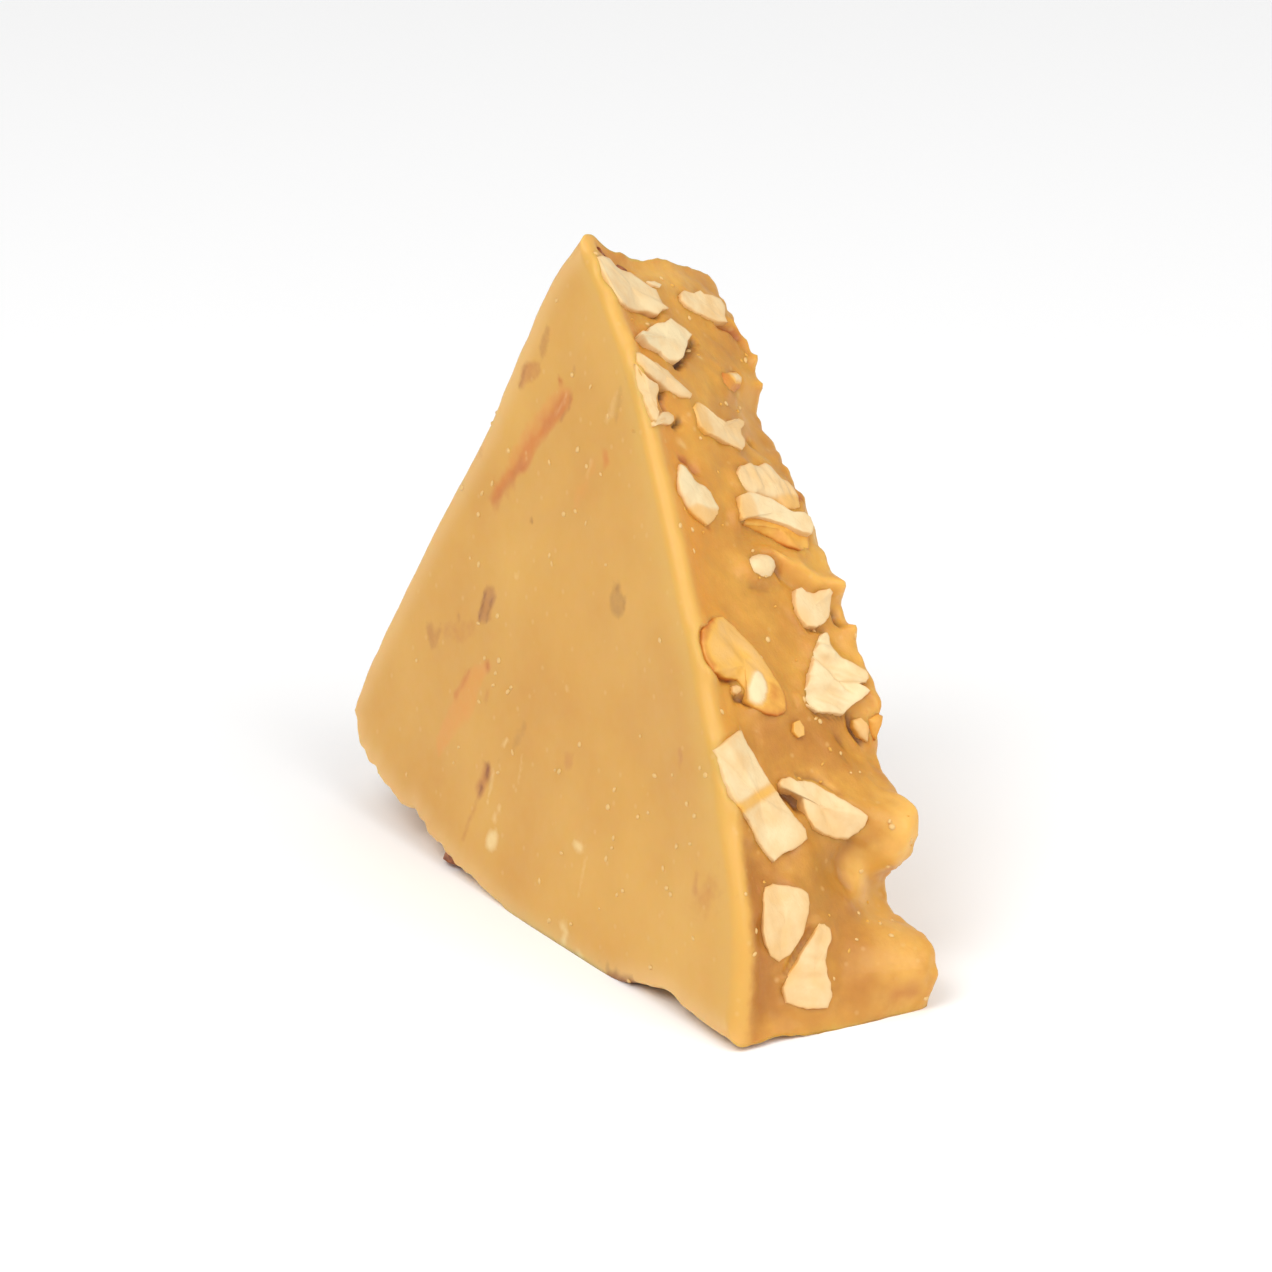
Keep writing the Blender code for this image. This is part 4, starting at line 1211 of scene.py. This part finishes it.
def toffee_finish():
    """Butter toffee, cooked until opaque, poured in a tray and snapped when hard.

    The tray leaves two smooth, satin faces with almond bits showing faintly under them. The break
    is a deeper ochre with a finer grain. Painted colour stands in for light: a glow through the
    thin ridge and rims, highlights and shade on the nutty side, and shade round the almonds.
    """
    material, tree, shader = new_material("butter_toffee", {
        "Subsurface Weight": 0.55, "Subsurface Radius": (1.0, 0.5, 0.2),
        "Subsurface Scale": 1.1 * MM, "IOR": 1.47})
    place = add_node(tree, "ShaderNodeTexCoord").outputs["Object"]
    clouds = grain(tree, place, 9, 4.0, Roughness=0.55)
    face = toned(tree, clouds, (0.32, FACE_DEEP), (0.68, FACE_PALE))
    torn = toned(tree, grain(tree, place, 3.0), (0.26, BREAK_DEEP), (0.52, BREAK_MIDDLE),
                 (0.78, BREAK_PALE))
    broken = stored(tree, "broken")
    fray = spread(tree, grain(tree, place, 0.55, Roughness=0.6), 0.25, 0.75, -0.16, 0.14)
    seen = maths(tree, "ADD", stored(tree, "marks", "Alpha"), fray)
    grains = add_node(tree, "ShaderNodeTexVoronoi", {"Vector": place, "Scale": 1 / (1.15 * MM)})
    colour = face
    for share, above in (
            (broken, torn),
            # painted shade round the almonds
            (spread(tree, stored(tree, "by_almond"), 0.25, 1.0, 0.0, 0.28), linear(PAINTED_ALMOND_SHADE)),
            # painted glow of the ridge and the thin rims, standing in for light through the toffee
            (spread(tree, stored(tree, "ridge"), 0.1, 1.0, 0.0, 0.7), linear(PAINTED_RIDGE_GLOW)),
            (maths(tree, "MULTIPLY", stored(tree, "thin"), 0.55), linear(PAINTED_RIM_GLOW)),
            # marks, with the painted highlights, glow and shade of the nutty side
            (spread(tree, seen, 0.06, 0.95, 0.0, 0.9), stored(tree, "marks", "Color")),
            (spread(tree, grains.outputs["Distance"], 0.04, 0.16, 0.4, 0.0), linear(SUGAR_GRAIN))):
        colour = laid_over(tree, share, colour, above)
    tree.links.new(colour, shader.inputs["Base Color"])
    rough = spread(tree, grain(tree, place, 0.8), 0.3, 0.7, 0.36, 0.52)
    tree.links.new(rough, shader.inputs["Roughness"])
    grit = grain(tree, place, 0.22, 4.0, Roughness=0.65)
    raised(tree, shader, grit, spread(tree, broken, 0.0, 1.0, 0.10, 0.32), 0.07)
    return material


def almond_finish():
    """Roasted almond, chopped: cream where it was cut, golden where it was toasted.

    Its cut faces are matt and waxy with a faint grain, and its rims are browner.
    """
    material, tree, shader = new_material("chopped_almond", {"Roughness": 0.5, "IOR": 1.46})
    place = add_node(tree, "ShaderNodeTexCoord").outputs["Object"]
    blotch = spread(tree, grain(tree, place, 1.3), 0.25, 0.75, -0.12, 0.12)
    tone = maths(tree, "ADD", stored(tree, "toast"), blotch)
    colour = toned(tree, tone, (0.0, "#ead3a4"), (0.2, "#e5c088"), (0.42, "#e2b168"),
                   (0.60, "#e6ae4c"), (0.80, "#c77525"), (1.0, "#995427"))
    tree.links.new(colour, shader.inputs["Base Color"])
    raised(tree, shader, grain(tree, place, 0.25, Distortion=0.6), 0.5, 0.05)
    return material


def crumb_finish():
    """Crumbs of the same toffee that cling to the break, dusty and a little paler."""
    return new_material("toffee_crumb", {"Base Color": linear(BREAK_PALE), "Roughness": 0.6})[0]


def grain_finish():
    """Grains of sugar and almond flour under the surface: pale, with no sharp edge or shine."""
    return new_material("sugar_grain", {"Base Color": linear(SUGAR_GRAIN), "Roughness": 0.5})[0]


def skin_finish():
    """Almond skin, roasted: thin, dry and red-brown, a little glossy from the butter."""
    material, tree, shader = new_material("almond_skin", {"Roughness": 0.42})
    streak = grain(tree, add_node(tree, "ShaderNodeTexCoord").outputs["Object"], 0.35)
    colour = toned(tree, streak, (0.3, "#74381a"), (0.7, "#b96c38"))
    tree.links.new(colour, shader.inputs["Base Color"])
    raised(tree, shader, streak, 0.6, 0.06)
    return material


def metres(*lengths):
    """Millimetres as metres."""
    return tuple(length * MM for length in lengths)


def build_pieces():
    """Makes every piece of the shard and says what each one is."""
    body = add_piece("toffee", toffee_mesh(), toffee_finish())
    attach(body, "root")
    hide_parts("almond_brittle")
    almonds = add_piece("cut_almonds", chip_mesh(ALMONDS), almond_finish())
    skins = [(name, proud, 1.0, SKIN_ROUNDED, corners, FAINT_RIDGES, ())
             for name, proud, corners in BROWN_SKINS]
    brown = add_piece("brown_skins", chip_mesh(skins), skin_finish())
    specks = scattered("sugar_grains", body, grain_finish(), corners=2, bits=1.1e5, rest=1.0,
                       smallest=metres(0.14, 0.14, 0.10), largest=metres(0.37, 0.35, 0.20),
                       sunk=-0.04 * MM, uneven=0.04 * MM, seed=3)
    crumbs = scattered("toffee_crumbs", body, crumb_finish(), corners=1, bits=0.8e5, rest=0.0,
                       smallest=metres(0.12, 0.10, 0.08), largest=metres(0.34, 0.26, 0.20),
                       sunk=-0.02 * MM, uneven=0.15 * MM, seed=11)
    for piece in (almonds, brown, specks, crumbs):
        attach(piece, "root")


def aim(thing, azimuth, elevation, distance, target):
    """Puts a camera or a lamp at an angle round a target, looking at it."""
    a, e = math.radians(azimuth), math.radians(elevation)
    away = Vector((math.sin(a) * math.cos(e), -math.cos(a) * math.cos(e), math.sin(e)))
    thing.location = target + away * distance
    thing.rotation_mode = "QUATERNION"
    thing.rotation_quaternion = (-away).to_track_quat("-Z", "Y")


def stage():
    """A plain white floor, soft boxes, a white sky and the camera."""
    scene = bpy.context.scene
    floor = bmesh.new()
    bmesh.ops.create_grid(floor, x_segments=1, y_segments=1, size=FLOOR_REACH)
    mesh = bpy.data.meshes.new("floor")
    floor.to_mesh(mesh)
    floor.free()
    paper = {"Base Color": linear("#ffffff"), "Roughness": 0.9, "Specular IOR Level": 0.1}
    mesh.materials.append(new_material("white_paper", paper)[0])
    ground = bpy.data.objects.new("floor", mesh)
    scene.collection.objects.link(ground)
    for name, (azimuth, elevation, distance, size, power) in LAMPS.items():
        light = bpy.data.lights.new(name, "AREA")
        light.size = size
        light.energy = power
        lamp = bpy.data.objects.new(name, light)
        aim(lamp, azimuth, elevation, distance, VIEW_CENTRE)
        scene.collection.objects.link(lamp)
    scene.world = bpy.data.worlds.new("sky")
    scene.world.use_nodes = True
    sky = scene.world.node_tree.nodes["Background"]
    sky.inputs["Color"].default_value = (1.0, 1.0, 1.0, 1.0)
    sky.inputs["Strength"].default_value = SKY
    lens = bpy.data.cameras.new("camera")
    lens.lens = LENS
    lens.clip_start = 0.01
    camera = bpy.data.objects.new("camera", lens)
    aim(camera, VIEW_AZIMUTH, VIEW_ELEVATION, VIEW_DISTANCE, VIEW_CENTRE)
    scene.collection.objects.link(camera)
    scene.camera = camera
    scene.view_settings.view_transform = "Standard"


build_pieces()
stage()
